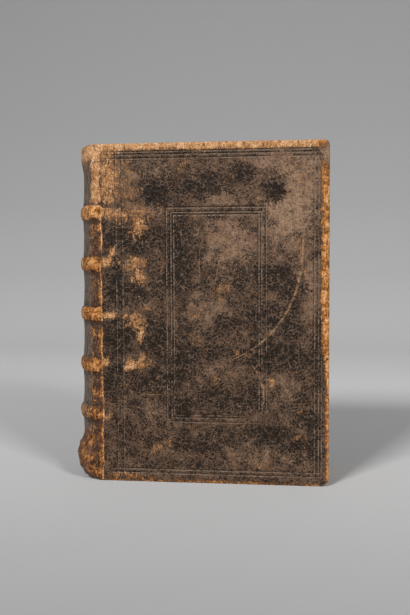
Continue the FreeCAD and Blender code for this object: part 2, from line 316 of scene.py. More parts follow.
def makeNestedGroup():
    # three rectangles of tool lines, one inside the other
    group, given, result = newGroup("nestedFrames", {
        "Across": 0.0, "Along": 0.0, "Left": 0.0, "Right": 100.0, "Low": 0.0, "High": 100.0,
        "Second": 2.0, "Third": 3.0,
    }, "Distance")
    reach = minus(group, given["Left"], given["Across"])
    for a, b in (("Across", "Right"), ("Low", "Along"), ("Along", "High")):
        reach = calc(group, "MAXIMUM", reach, minus(group, given[a], given[b]))
    nearest = calc(group, "ABSOLUTE", reach)
    for label in ("Second", "Third"):
        off = calc(group, "ABSOLUTE", calc(group, "ADD", reach, given[label]))
        nearest = calc(group, "MINIMUM", nearest, off)
    group.links.new(nearest, result)
    return group


def makeRosetteGroup():
    # a stamped flower with eight petals
    group, given, result = newGroup("rosetteStamp", {"Across": 0.0, "Along": 0.0, "Radius": 6.0}, "Mask")
    radius = calc(group, "SQRT", addUp(group, times(group, given["Across"], given["Across"]),
                                       (given["Along"], given["Along"])))
    radius = calc(group, "DIVIDE", radius, given["Radius"])
    turn = calc(group, "ARCTAN2", given["Along"], given["Across"])
    petals = addUp(group, 0.5, (calc(group, "COSINE", times(group, turn, 8.0)), 0.5))
    tip = addUp(group, 0.42, (petals, 0.55))
    inside = spread(group, minus(group, tip, radius), -0.05, 0.05)
    away = spread(group, radius, 0.18, 0.26)
    vein = spread(group, petals, 0.90, 0.99, 1.0, 0.35)
    flower = times(group, times(group, inside, away), vein)
    heart = spread(group, radius, 0.08, 0.14, 1.0, 0.0)
    group.links.new(calc(group, "MAXIMUM", flower, heart), result)
    return group


grainGroup = makeGrainGroup()
crackleGroup = makeCrackleGroup()
scratchGroup = makeScratchGroup()
ruledGroup = makeRuledGroup()
nestedGroup = makeNestedGroup()
rosetteGroup = makeRosetteGroup()

leather = {  # colours are linear
    "black": (0.0080, 0.0050, 0.0032),
    "crackBrown": (0.115, 0.074, 0.050),
    "brown": (0.078, 0.044, 0.026),
    "umber": (0.130, 0.079, 0.050),
    "pale": (0.275, 0.172, 0.105),
    "russet": (0.115, 0.052, 0.024),
    "rust": (0.160, 0.055, 0.014),
    "amber": (0.370, 0.145, 0.032),
    "tan": (0.510, 0.250, 0.095),
    "buff": (0.700, 0.470, 0.280),
    "bare": (0.380, 0.250, 0.160),
    # painted highlight: colour of the bright specks that stand for glints off the crackled crust
    "glintSpeck": (0.620, 0.500, 0.380),
    # lip: pale line beside the tool grooves, partly rubbed leather and partly painted highlight
    "lip": (0.270, 0.200, 0.145),
    "scratch": (0.400, 0.225, 0.110),
    # painted shade: the worm hole is coloured near black for the shade inside it, deeper than its shallow
    # dent
    "holeShade": (0.003, 0.002, 0.002),
    "hair": (0.340, 0.230, 0.155),
    "backDark": (0.055, 0.036, 0.025),
    "backGrey": (0.200, 0.146, 0.110),
    "redDark": (0.040, 0.018, 0.010),
    "redBrown": (0.230, 0.105, 0.055),
    "grainHeight": 0.00030,
    "specular": 0.10,
}

# Places below are in millimetres from the joint and the head of a cover 115 wide, as it was measured.
measuredWide = 115.0
acrossScale = coverWide / measuredWide

frontScratches = [
    {"through": ((101, 58), (92.6, 85.8), (69, 106.3)), "width": 0.8, "half": 36},
    {"through": ((102, 48), (101, 62), (96.7, 79)), "width": 1.3, "half": 17},
    {"through": ((76.7, 110), (82, 121), (81.7, 133)), "width": 0.95, "half": 13},
    {"through": ((50.5, 52), (50.2, 60), (50.3, 68)), "width": 0.35, "half": 9},
    {"through": ((23, 125.5), (27, 125.4), (32, 125.5)), "width": 0.3, "half": 5.5},
    {"through": ((33.7, 88), (33.6, 91), (33.0, 94)), "width": 0.35, "half": 4},
    {"through": ((66, 44), (60, 60), (58, 78)), "width": 0.28, "half": 17},
    {"through": ((20, 143), (33, 148), (46, 150)), "width": 0.25, "half": 14},
    {"through": ((5, 56), (6.5, 53), (7, 51)), "width": 0.8, "half": 3.5},
]

tooling = {  # blind lines, as distances in from each edge of a cover
    "head": (4.1, 5.6, 7.5),
    "tail": (4.9, 6.9),
    "fore": (4.2, 5.7, 7.6),
    "joint": (7.2, 10.4),
    "lineStart": 2.5,
    "inner": {"joint": 32.7, "fore": 31.2, "head": 31.9, "tail": 31.2},
    "innerPitches": (2.2, 3.6),
    "halfWidth": 0.34,
    "depth": 0.24,
    "groove": {"shift": 0.0, "near": 0.14, "far": 0.42},
    # lip: moved below and to the right of each groove, the side where the painted highlight of the groove's
    # edge catching the light goes
    "lip": {"shift": 0.48, "near": 0.12, "far": 0.36},
    "stampOffset": (4.7, 6.5),
    "stampRadius": 6.2,
}

relief = {  # how the leather rises over what is under it
    "bandHalf": 3.4,
    "bandRise": 1.3,
    "panelRise": 0.45,
    "slipHalf": 3.2,
    "slipRise": 0.45,
    "slipEnd": 18.5,
    "flare": 3.3,
    "flareFrom": (10.5, 24.5),
    "headFlare": 1.3,
    "headFlareFrom": (154, 164),
    "edgeRound": 1.2,
    "headRound": 2.4,
    "tailRoundHigh": 9.5,
    "tailRoundDeep": 8.0,
    "bendLow": 31.0,
    "headCorner": 2.5,
    "tailCorner": 4.5,
    "turnIn": 14.0,
    "turnInThickness": 0.5,
    "thickness": 0.9,
    "headLip": 3.4,
    "tailLip": 9.2,
    "lastWornRing": 12,
}


def skinPlace(x, fromHead):
    # a measured place on the front cover, on the unrolled skin
    return Vector((back["halfRun"] + x * acrossScale, coverHigh - fromHead, 0))


def circleThrough(a, b, c):
    d = 2 * (a.x * (b.y - c.y) + b.x * (c.y - a.y) + c.x * (a.y - b.y))
    aa, bb, cc = a.length_squared, b.length_squared, c.length_squared
    ux = (aa * (b.y - c.y) + bb * (c.y - a.y) + cc * (a.y - b.y)) / d
    uy = (aa * (c.x - b.x) + bb * (a.x - c.x) + cc * (b.x - a.x)) / d
    centre = Vector((ux, uy, 0))
    return centre, (a - centre).length


def scratchMarks(tree, skin):
    marks = 0.0
    for scratch in frontScratches:
        points = [skinPlace(*place) for place in scratch["through"]]
        centre, radius = circleThrough(*points)
        inputs = {"Vector": skin, "Centre": centre, "Radius": radius, "Middle": points[1],
                  "Half Length": scratch["half"], "Width": scratch["width"]}
        marks = calc(tree, "MAXIMUM", marks, useGroup(tree, scratchGroup, inputs))
    return marks


def innerFrame():
    sides = tooling["inner"]
    return sides["joint"], coverWide - sides["fore"], sides["tail"], coverHigh - sides["head"]


def toolDistances(tree, across, along):
    # how far a point of a cover is from the nearest line of the outer and the inner frame
    def ruled(a, b, lines, start, end):
        inputs = {"Across": a, "Along": b, "First": lines[0], "Second": lines[1], "Third": lines[-1],
                  "Start": start, "End": end}
        return useGroup(tree, ruledGroup, inputs)

    start = tooling["lineStart"]
    wide, high = coverWide - start, coverHigh - start
    sets = [
        ruled(along, across, [coverHigh - line for line in tooling["head"]], start, wide),
        ruled(along, across, tooling["tail"], start + 3, wide - 2),
        ruled(across, along, tooling["joint"], start + 2, high - 2),
        ruled(across, along, [coverWide - line for line in tooling["fore"]], start + 2, high - 2),
    ]
    left, right, low, top = innerFrame()
    second, third = tooling["innerPitches"]
    inputs = {"Across": across, "Along": along, "Left": left, "Right": right, "Low": low, "High": top,
              "Second": second, "Third": third}
    nearest = sets[0]
    for distance in sets[1:]:
        nearest = calc(tree, "MINIMUM", nearest, distance)
    return nearest, useGroup(tree, nestedGroup, inputs)


def stampCentres():
    left, right, low, top = innerFrame()
    dx, dz = tooling["stampOffset"]
    return [(x, z) for x in (left - dx, right + dx) for z in (low - dz, top + dz)]


def calfLeather():
    material, tree, shader = newMaterial("calfLeather")
    skin = attribute(tree, "skin", "Vector")
    fields = ("worn", "dark", "pale", "rust", "backPart", "hole")
    worn, dark, pale, rust, backPart, hole = [attribute(tree, name) for name in fields]
    parts = node(tree, "ShaderNodeSeparateXYZ", {0: skin}).outputs
    across = minus(tree, calc(tree, "ABSOLUTE", parts["X"]), back["halfRun"])
    along = parts["Y"]

    broad = cloud(tree, skin, 24, 3.0, 0.5)
    islands = cloud(tree, skin, 6.0, 4.0, 0.74, 0.5)
    islandsToo = cloud(tree, skin, 4.5, 4.0, 0.74, 0.3, shift=(31, 57, 9))
    clumps = cloud(tree, skin, 2.6, 2.0, 0.6, 0.6, shift=(11, 5, 3))
    flecks = cloud(tree, skin, 1.0, 1.0, 0.7, stretch=(1.0, 0.75, 1.0))
    grit = cloud(tree, skin, 0.55, 1.0, 0.7)
    streaks = cloud(tree, skin, 0.85, 3.0, 0.6, stretch=(1.0, 0.22, 1.0))
    grain = useGroup(tree, grainGroup, {"Vector": skin, "Pore Size": 0.55, "Wrinkle Size": 2.0})
    cracks = useGroup(tree, crackleGroup, {"Vector": skin, "Cell Size": 1.9, "Crack Width": 0.15})

    # the brown skin under the old dark dressing
    tone = addUp(tree, 0.38, (broad, 0.10), (islandsToo, 0.26), (streaks, 0.26), (flecks, 0.30),
                 (grit, 0.32), (pale, 0.28))
    stops = [(0.05, leather["brown"]), (0.40, leather["umber"]), (0.92, leather["pale"])]
    hide = ramp(tree, tone, stops)
    warmth = addUp(tree, 0.0, (cloud(tree, skin, 9, 5.0, 0.6), 1.0), (grit, 0.4), (pale, -0.6))
    warmth = spread(tree, warmth, 0.0, 0.9)
    hide = blendColour(tree, times(tree, warmth, 0.8), hide, leather["russet"])
    # what is left of the dressing: nearly black, broken and crackled
    crustLevel = addUp(tree, 0.14, (dark, 0.74), (pale, -0.60), (islands, 0.58), (clumps, 0.46),
                       (flecks, 0.54), (grit, 0.54), (streaks, 0.30), (broad, 0.16))
    crust = spread(tree, crustLevel, -0.10, 0.18)
    crackled = times(tree, cracks, spread(tree, clumps, -0.3, 0.5, 0.0, 0.7))
    crustColour = blendColour(tree, crackled, leather["black"], leather["crackBrown"])
    hide = blendColour(tree, times(tree, crust, 0.97), hide, crustColour)
    # the back between the bands
    backTone = addUp(tree, 0.46, (streaks, 0.55), (broad, 0.12), (flecks, 0.22), (islandsToo, 0.22),
                     (dark, -0.5))
    greyTone = twoTones(tree, backTone, leather["backDark"], leather["backGrey"])
    redTone = twoTones(tree, backTone, leather["redDark"], leather["redBrown"])
    reddened = times(tree, times(tree, backPart, rust), 0.9)
    hide = blendColour(tree, reddened, blendColour(tree, backPart, hide, greyTone), redTone)
    # blind tooling: scorched grooves, each with a pale lip beside it that is partly rubbed leather and
    # partly a painted highlight on the groove's side towards the light, below and to the right
    faded = addUp(tree, 0.02, (cloud(tree, skin, 13, 5.0, 0.65), 0.6), (flecks, 0.3), (grit, 0.2))
    outerClear = times(tree, spread(tree, faded, -0.3, 0.3), spread(tree, across, 0.3, 1.2))
    innerClear = spread(tree, addUp(tree, -0.30, (faded, 1.0), (along, 0.0048)), -0.3, 0.3)
    pressed = []
    for mark in (tooling["groove"], tooling["lip"]):
        shifted = minus(tree, across, mark["shift"]), calc(tree, "ADD", along, mark["shift"])
        found = 0.0
        for distance, clear in zip(toolDistances(tree, *shifted), (outerClear, innerClear)):
            line = times(tree, spread(tree, distance, mark["near"], mark["far"], 1.0, 0.0), clear)
            found = calc(tree, "MAXIMUM", found, line)
        pressed.append(found)
    groove, lip = pressed
    broken = addUp(tree, 0.0, (flecks, 1.0), (clumps, 0.7))
    lip = times(tree, lip, spread(tree, broken, -0.5, 0.3))
    stamps = 0.0
    for x, z in stampCentres():
        inputs = {"Across": minus(tree, across, x), "Along": minus(tree, along, z),
                  "Radius": tooling["stampRadius"]}
        stamps = calc(tree, "MAXIMUM", stamps, useGroup(tree, rosetteGroup, inputs))
    broken = addUp(tree, 0.1, (islands, 0.5), (along, 0.002))
    stamps = times(tree, stamps, spread(tree, broken, -0.1, 0.3))
    broken = addUp(tree, 0.1, (flecks, 0.8), (grit, 0.6))
    stamps = times(tree, stamps, spread(tree, broken, -0.3, 0.4, 0.35, 1.0))
    # stamps and grooves darken; the lip paints a pale line, partly rubbed and partly painted highlight
    for amount, strength, tone in ((stamps, 0.8, "black"), (groove, 0.66, "black"), (lip, 0.60, "lip")):
        hide = blendColour(tree, times(tree, amount, strength), hide, leather[tone])
    # rubbed leather, from rust brown to buff
    wearLevel = addUp(tree, -0.02, (worn, 1.0), (islandsToo, 0.44), (clumps, 0.16), (flecks, 0.30),
                      (grit, 0.28), (streaks, 0.34), (groove, -0.3))
    rubbed = times(tree, spread(tree, wearLevel, 0.24, 0.62), spread(tree, worn, 0.1, 0.85, 0.5, 1.0))
    rubTone = addUp(tree, 0.04, (worn, 0.62), (rust, -0.20), (islands, 0.26), (clumps, 0.24),
                    (flecks, 0.17), (grit, 0.17), (streaks, 0.24))
    stops = [(0.0, leather["brown"]), (0.20, leather["rust"]), (0.38, leather["amber"]),
             (0.58, leather["tan"]), (0.95, leather["buff"])]
    rubColour = ramp(tree, rubTone, stops)
    rubColour = blendColour(tree, spread(tree, rust, 0.0, 0.5, 0.24, 0.0), rubColour, leather["bare"])
    colour = blendColour(tree, rubbed, hide, rubColour)
    # scratches, hair lines, painted glints (bright specks that stand for sparkle off the crust) and the worm
    # hole, painted near black as the shade inside it
    marks = scratchMarks(tree, skin)
    hairs = 0.0
    for turn in (0.35, 1.25, 2.2):
        inputs = {"Vector": skin, "Rotation": (0, 0, turn), "Scale": (0.14, 1.9, 1)}
        swept = node(tree, "ShaderNodeMapping", inputs).outputs[0]
        swept = cloud(tree, swept, 1.0, 2.0, 0.5, 0.25)
        hairs = calc(tree, "MAXIMUM", hairs, spread(tree, swept, 0.78, 1.08))
    hairs = times(tree, hairs, spread(tree, islands, -0.2, 0.3, 0.1, 0.55))
    # painted highlight: bright specks on the pale islands stand for glints off the crust
    paintedGlints = times(tree, spread(tree, grit, 0.75, 1.1), spread(tree, islandsToo, -0.1, 0.5))
    for amount, strength, tone in ((marks, 0.62, "scratch"), (hairs, 1.0, "hair"), (paintedGlints, 0.60, "glintSpeck"),
                                   (hole, 1.0, "holeShade")):
        colour = blendColour(tree, times(tree, amount, strength), colour, leather[tone])
    roughness = addUp(tree, 0.56, (rubbed, 0.25), (crust, -0.13), (flecks, 0.10), (backPart, -0.08))
    nap = times(tree, rubbed, addUp(tree, 0.0, (flecks, 0.6), (grit, 0.5), (islandsToo, 0.4)))
    height = addUp(tree, grain, (crust, 0.22), (cracks, -0.30), (marks, -0.5), (islandsToo, 0.12),
                   (flecks, 0.16), (nap, 0.9), (groove, -0.5), (stamps, -0.5),
                   (times(tree, streaks, backPart), 0.5))
    dressShader(tree, shader, colour, roughness, leather["specular"], height, leather["grainHeight"])
    return material


# Where a cover is rubbed, dark or pale: place from the joint and the head, half sizes, strength
frontRubs = [
    (4.0, 17, 6.5, 17, 0.74), (9, 35.5, 9, 4.0, 0.66), (18.5, 39.5, 5.5, 8, 0.66), (24, 36, 4, 3.5, 0.50),
    (3, 58.5, 3.6, 3.2, 0.85), (5.5, 53.5, 1.4, 2.6, 0.8), (2.5, 34, 4, 3, 0.85),
    (16.5, 60, 7.5, 4.2, 0.66), (19.5, 65.5, 4.2, 5.5, 0.66), (4.5, 85.2, 4.8, 1.7, 0.85),
    (11, 86, 1.2, 1.0, 0.9), (17.5, 89, 5.5, 5, 0.64), (19.5, 95, 3.2, 6, 0.70),
    (24.6, 82.3, 1.8, 1.6, 0.78), (2.2, 109, 3.4, 3.0, 0.78), (14.5, 110.5, 3.2, 3.4, 0.92),
    # (95, 1.0, ...) on the head edge near the fore corner: worn to buff, partly a painted highlight where
    # the top edge catches the light
    (20, 109, 7, 4.0, 0.58), (3.0, 137, 4.0, 3.0, 0.5), (95, 1.0, 7, 1.3, 1.15), (60, 0.8, 9, 1.0, 0.95),
    (62, 72, 3.2, 3.2, 0.52), (60, 76, 2.5, 3, 0.45), (48.5, 84, 4.5, 2.8, 0.42),
    (49, 97, 2.6, 2.6, 0.38), (86.7, 118, 1.6, 1.8, 0.80), (101, 133, 2.4, 2.2, 0.48),
    (29, 153, 3.6, 4, 0.42), (34, 150, 2, 2, 0.5), (83, 160, 5, 3, 0.42), (14, 167.2, 12, 1.6, 0.62),
    (58, 118, 3.4, 4, 0.42), (100, 146, 1.6, 1.4, 0.6), (102, 52, 1.2, 2.2, 0.62),
    (104, 62, 1.0, 8, 0.45), (70, 104, 5, 1.6, 0.42), (13, 20, 6, 16, 0.42), (11.5, 122, 4, 3, 0.36),
    (60, 47, 5, 3, 0.34), (42, 12, 4, 5, 0.34), (103, 20, 3, 6, 0.40),
]
frontDarks = [
    (14, 47, 15, 7, 0.95), (7, 70, 5, 8, 1.0), (8, 97, 7, 9, 1.15), (40, 54, 6, 19, 0.95),
    (52, 22, 12, 6, 0.85), (73, 15, 6, 5, 0.95), (88, 66, 13, 6, 0.95), (84, 86, 13, 7, 0.8),
    (87, 105, 18, 6, 1.15), (40, 132, 8, 6, 0.95), (86, 144, 10, 4, 0.95), (29, 25, 6.5, 6.5, 1.0),
    (88, 24, 6.5, 6.5, 1.45), (18, 73, 9, 5, 0.8), (27, 97, 8, 12, 0.85), (40, 108, 8, 14, 0.7),
    (110, 106, 4, 11, 0.8), (28, 118, 14, 5, 0.8), (60, 128, 12, 7, 0.55), (106, 138, 4, 10, 0.75),
    (7, 118, 6, 9, 0.8), (70, 62, 6, 7, 0.55), (22, 20, 4, 9, 0.5), (96, 151, 9, 4, 0.6),
    (96, 92, 8, 4, 0.8), (50, 150, 14, 5, 0.5), (10, 146, 6, 8, 0.45), (78, 126, 9, 6, 0.55),
    (56, 103, 10, 4, 0.6), (108, 152, 4, 6, 0.7), (64, 88, 6, 4, 0.5), (34, 68, 5, 5, 0.6),
    (98, 74, 6, 5, 0.7), (110, 88, 3, 6, 0.5),
]
frontPales = [
    (95, 30, 15, 22, 1.0), (66, 50, 13, 14, 0.75), (20, 14, 12, 5, 0.55), (62, 28, 12, 4, 0.5),
    (87, 10, 18, 4, 0.7), (106, 72, 4, 16, 0.7), (28, 136, 8, 5, 0.30), (80, 156, 22, 5, 0.35),
    (56, 82, 10, 8, 0.45), (92, 122, 9, 6, 0.3), (26, 33, 8, 3, 0.5), (60, 112, 14, 5, 0.2),
    (106, 18, 6, 12, 0.9), (100, 60, 6, 12, 0.4),
]
backRubs = [
    (3, 34, 5, 4, 0.75), (16, 36, 6, 4, 0.6), (4, 60, 4, 4, 0.75), (17, 62, 5, 4, 0.6),
    (3, 86, 4, 3, 0.75), (15, 84, 6, 4, 0.6), (3, 110, 4, 3, 0.75), (18, 112, 5, 4, 0.6),
    (4, 137, 5, 3, 0.75), (56, 82, 12, 15, 0.36), (88, 40, 5, 8, 0.36), (40, 140, 8, 5, 0.42),
    (98, 120, 4, 6, 0.45), (30, 20, 7, 5, 0.36), (70, 158, 12, 4, 0.42),
]
backDarks = [
    (20, 48, 14, 7, 0.9), (24, 98, 12, 10, 0.95), (60, 40, 16, 12, 0.8), (96, 78, 10, 14, 0.85),
    (46, 118, 14, 10, 0.85), (84, 140, 12, 10, 0.9), (100, 20, 8, 8, 0.7), (36, 74, 8, 8, 0.7),
    (70, 16, 10, 6, 0.7),
]
backPales = [
    (80, 60, 16, 14, 0.8), (30, 30, 14, 8, 0.5), (60, 100, 18, 12, 0.6), (100, 110, 8, 14, 0.5),
    (24, 150, 16, 8, 0.4),
]
coverPatches = {-1: (frontRubs, frontDarks, frontPales), 1: (backRubs, backDarks, backPales)}
edgeWear = {  # strength, and how far before and after its reach the rubbing fades
    "patches": 0.86,
    "fore": (0.86, 2.0, 0.8),
    "head": (0.78, 1.8, 0.8),
    "tail": (0.72, 1.2, 1.4),
}
frontBruise = {"across": 0.73, "fromHead": 122, "halfWide": 1.2, "halfHigh": 9, "depth": 0.35}
wormHole = {"turn": 38.0, "fromTail": 22.0, "radius": 0.8, "depth": 0.85}
wormHole["run"] = -back["shoulderRadius"] * math.radians(wormHole["turn"])


def softPatches(x, y, patches):
    field = np.zeros_like(x)
    for px, py, rx, ry, strength in patches:
        reach = np.sqrt(((x - px) / rx) ** 2 + ((y - py) / ry) ** 2)
        field = np.maximum(field, strength * fade(0.25, 1.6, reach))
    return field


def toolMarks(x, z):
    # how deep each point is pressed by the fillets and the corner stamps, from 0 to 1
    gaps = [np.abs(coverHigh - line - z) for line in tooling["head"]]
    gaps += [np.abs(line - z) for line in tooling["tail"]]
    gaps += [np.abs(line - x) for line in tooling["joint"]]
    gaps += [np.abs(coverWide - line - x) for line in tooling["fore"]]
    start = tooling["lineStart"]
    within = (x > start) & (x < coverWide - start) & (z > start) & (z < coverHigh - start)
    nearest = np.where(within, np.minimum.reduce(gaps), 9)
    left, right, low, high = innerFrame()
    reach = np.maximum(np.maximum(left - x, x - right), np.maximum(low - z, z - high))
    for pitch in (0.0, *tooling["innerPitches"]):
        nearest = np.minimum(nearest, np.abs(reach + pitch))
    pressed = fade(0.1, tooling["halfWidth"], nearest)
    for cx, cz in stampCentres():
        r = np.hypot(x - cx, z - cz) / tooling["stampRadius"]
        petals = 0.5 + 0.5 * np.cos(8 * np.arctan2(z - cz, x - cx))
        flower = smooth(0.15, 0.28, r) * fade(-0.06, 0.06, r - 0.42 - 0.55 * petals)
        pressed = np.maximum(pressed, 0.8 * np.maximum(flower, fade(0.05, 0.16, r)))
    return pressed


def bandShape(z, wobble):
    # the bands' hump and the hollow of the panels between them
    hump = np.zeros_like(z)
    nearest = np.full_like(z, 1e9)
    for height in bandHeights:
        off = np.abs(z - height + wobble)
        hump = np.maximum(hump, np.clip(1 - (off / relief["bandHalf"]) ** 2, 0, 1) ** 0.55)
        nearest = np.minimum(nearest, off)
    hollow = np.clip(1 - (nearest - relief["bandHalf"]) / 9.5, 0, 1) ** 2
    return hump, relief["panelRise"] * hollow


def tailLumps(s, z):
    # the crumpled leather round the tail of the back
    away = -s
    crumple = wander(s, z, 4.4, 4.4) + 0.75 * wander(s, z, 2.0, 8.1)
    ledge = bell(z - 13.0 - 1.2 * wander(s, s, 5, 1.7), 3.2)
    return (0.66 * crumple + 0.50 * ledge) * fade(15, 23, z) * smooth(0.3, 3.5, away)


def backLift(s, z):
    away = -s
    wobble = 0.35 * wander(s, z * 0 + 3.0, 11, 2.3)
    hump, panel = bandShape(z, wobble)
    knuckle = 0.55 * bell(away - 3.6, 2.2)
    rise = relief["bandRise"] + knuckle + 0.12 * wander(s, z, 2.2, 6.6)
    bands = (hump * rise + panel) * smooth(0.1, 3.0, away)
    flare = relief["flare"] * fade(*relief["flareFrom"], z) * smooth(0.6, 8.0, away)
    cap = relief["headFlare"] * smooth(*relief["headFlareFrom"], z) * smooth(0.8, 7.0, away)
    swell = (0.9 * fade(20, 110, z) - 0.5 * smooth(110, 165, z)) * smooth(1, 9, away)
    ridge = 0.30 * smooth(0.2, 2.2, away) * fade(4.4, 7.6, away)
    pleats = wander(s * 1.4, z * 0.06, 1.0, 7.7) * smooth(4, 8, away) * (1 - hump)
    rough = 0.11 * wander(s, z, 2.4, 9.7) + 0.10 * wander(s, z, 7.0, 3.9)
    return bands + flare + cap + swell + ridge + 0.13 * pleats + rough + tailLumps(s, z)


def coverLift(s, z, side):
    seed = 3 + side
    wobble = 0.5 * wander(s, z, 11, seed)
    slips = np.zeros_like(s)
    for height in bandHeights:
        across = np.clip(1 - ((z - height + wobble) / relief["slipHalf"]) ** 2, 0, 1)
        along = smooth(0.4, 2.4, s) * fade(relief["slipEnd"] - 2.5, relief["slipEnd"] + 2, s)
        knot = 0.35 * bell(s - 16, 3.2) * bell(z - height, 3.6)
        slips = np.maximum(slips, relief["slipRise"] * across * along + knot)
    clear = 0.45 + 0.55 * smooth(-0.35, 0.25, wander(s, z, 16, seed + 8.8))
    pressed = toolMarks(s, z) * clear * (1 - 0.6 * smooth(0.1, 0.5, slips))
    rough = 0.16 * wander(s, z, 34, seed + 5.1) + 0.07 * wander(s, z, 7, seed + 9.7)
    rough = rough + 0.035 * wander(s, z, 2.6, seed + 2.2)
    bruise = np.zeros_like(s)
    if side < 0:
        bruise = frontBruise["depth"] * bell(s - coverWide * frontBruise["across"], frontBruise["halfWide"])
        bruise *= bell(coverHigh - z - frontBruise["fromHead"], frontBruise["halfHigh"])
    return slips + rough - tooling["depth"] * pressed - bruise


def holeDistance(s, z, side):
    if side > 0:
        return np.full_like(s, 9.0)
    return np.hypot(s - wormHole["run"], z - wormHole["fromTail"])


def skinLift(s, z, side):
    # height of the leather over the plain cover and back
    crack = -0.28 * bell(s, 0.35) * smooth(4, 12, z) * fade(150, 160, z)
    hole = wormHole["depth"] * fade(0.3, wormHole["radius"], holeDistance(s, z, side))
    away = smooth(-0.4, 0.4, s)
    onBack = backLift(np.minimum(s, 0), z) * (1 - away)
    onCover = coverLift(np.maximum(s, 0), z, side) * away
    return onBack + onCover + crack - hole


def tintFields(s, z, side):
    # painted fields for the leather's finish, with painted shade along the bands
    fromHead = coverHigh - z
    fore = coverWide - s
    jointSway = 0.55 * wander(z, z, 13, 5.5) + 0.45 * wander(z, z, 3.6, 6.5)
    s = s + jointSway * fade(2.0, 5.0, np.abs(s))
    away = -s
    measured = s / acrossScale + 2.2 * wander(s, z, 6, 11.3) + 1.0 * wander(s, z, 2.2, 12.9)
    ragged = fromHead + 2.2 * wander(s, z, 6, 14.1) + 1.0 * wander(s, z, 2.2, 15.7)
    rubs, darks, pales = coverPatches[side]
    onCover = smooth(-0.6, 0.4, s)
    slow = wander(s + 300 * side, z, 21, 3.3)
    quick = wander(s + 300 * side, z, 5, 1.3)
    worn = edgeWear["patches"] * softPatches(measured, ragged, rubs)
    foreReach = 4.7 - 2.2 * smooth(98, 116, fromHead) - 3.2 * fade(6, 12, fromHead)
    edges = {
        "fore": (fore, foreReach + 0.8 * slow + 0.5 * quick),
        "head": (fromHead, 4.4 + 0.4 * slow + 0.4 * quick),
        "tail": (z, 1.2 + 0.8 * slow + 0.4 * quick),
    }
    for edge, (inward, reach) in edges.items():
        strength, before, after = edgeWear[edge]
        worn = np.maximum(worn, strength * fade(reach - before, reach + after, inward))
    worn *= onCover
    # the back: bands, the ridge beside the joint, and both caps
    onBand = np.zeros_like(s)
    for height in bandHeights:
        off = np.abs(z - height + 0.5 * quick)
        onBand = np.maximum(onBand, 0.80 * fade(2.9, 4.7, off) + 0.20 * fade(0.2, 3.0, off))
    onBand *= 1 - 0.40 * smooth(0.0, 0.5, wander(s, z, 8, 21.7)) * smooth(5, 9, away)
    scuffs = 0.50 * smooth(0.15, 0.6, wander(3 * s, 0.5 * z, 3.0, 23.1)) * smooth(2, 5, away)
    ridgeWidth = 5.0 + 0.8 * slow + 0.6 * quick
    ridge = smooth(-0.2, 0.6, away) * fade(ridgeWidth - 0.8, ridgeWidth + 1.2, away)
    core = bell(away - 2.8 - 0.6 * quick, 1.2) * smooth(36, 44, fromHead)
    ridgeZone = ridge * smooth(30, 40, fromHead) * (1 - onCover)
    ridge = ridge * (0.58 + 0.1 * slow + 0.25 * quick - 0.40 * core)
    headEnd = 0.8 * fade(6, 13, fromHead)
    upper = (0.76 + 0.15 * quick) * fade(28, 37, fromHead) * fade(4.4, 7.2, away)
    tailEnd = (0.47 + 0.32 * wander(s, z, 3.2, 2.9)) * fade(21, 31, z)
    lowest = smooth(118, 132, fromHead)
    backWorn = np.maximum.reduce([(0.96 - 0.28 * lowest) * onBand, ridge, headEnd, upper, tailEnd, scuffs])
    # partly dirt and partly painted shade: a dark line under each band and a weaker one above, darkening the
    # back and taking off its rubbing
    dirt = np.zeros_like(s)
    for height in bandHeights:
        dirt = np.maximum(dirt, bell(z - height + 4.5, 0.8) + 0.5 * bell(z - height - 4.6, 0.8))
    edgeLine = (0.92 + 0.3 * quick) * bell(s + 0.2, 0.50 + 0.22 * slow) * smooth(14, 30, fromHead)
    worn = np.maximum(worn, np.where(s < 0.5, backWorn * (1 - onCover), 0))
    worn = np.maximum(worn, edgeLine)
    rust = onBand * (1 - onCover) * (0.95 - 0.6 * fade(26, 44, fromHead) - 0.6 * lowest)
    rust += 0.95 * fade(18, 30, z) * (1 - onCover)
    rust += 0.8 * ridgeZone
    rust += (0.8 * fade(3, 7, fore) + 0.6 * fade(2, 5, z)) * onCover * (1 - 0.3 * quick)
    dark = softPatches(measured, ragged, darks) * onCover + dirt * (1 - onCover) + 0.55 * ridgeZone
    worn = worn - 0.5 * dirt * fade(1.0, 4.0, s)
    pale = softPatches(measured, ragged, pales) * onCover
    if side < 0:
        corner = bell(fore, 3.6) * bell(fromHead - 7, 6)
        worn = worn * (1 - 0.8 * corner)
        pale = np.maximum(pale, 1.5 * corner)
    # where the worm hole is painted near black as the shade inside it
    hole = fade(0.55, 0.85, holeDistance(s, z, side))
    if side < 0:
        drip = np.clip((wormHole["fromTail"] - z) / 3.0, 0, 1)
        centre = wormHole["run"] - 2.0 * drip
        below = (z < wormHole["fromTail"]) * (z > wormHole["fromTail"] - 3.4)
        smear = bell(s - centre, 0.45) * below
        worn = worn - 0.5 * smear
        dark = dark + 1.2 * smear
    return {"worn": worn, "dark": dark, "pale": pale, "rust": np.clip(rust, 0, 1),
            "backPart": fade(-1.2, -0.4, s), "hole": hole}


def placeOnSkin(s, z, lift, side):
    # the outer face of the leather, unrolled place to the book's own frame
    away = np.maximum(-s, 0)
    small = np.minimum(away, back["shoulderRun"]) / back["shoulderRadius"]
    large = np.maximum(away - back["shoulderRun"], 0) / back["radius"]
    angle = small + large
    onLarge = away > back["shoulderRun"]
    radius = np.where(onLarge, back["radius"], back["shoulderRadius"]) + lift
    centreX = np.where(onLarge, back["radius"] - back["bulge"], 0.0)
    centreY = np.where(onLarge, 0.0, halfBook - back["shoulderRadius"])
    x = jointX + np.where(s > 0, s, centreX - radius * np.sin(angle))
    y = np.where(s > 0, halfBook + lift, centreY + radius * np.cos(angle))
    return np.stack([x, side * y, z], 1)


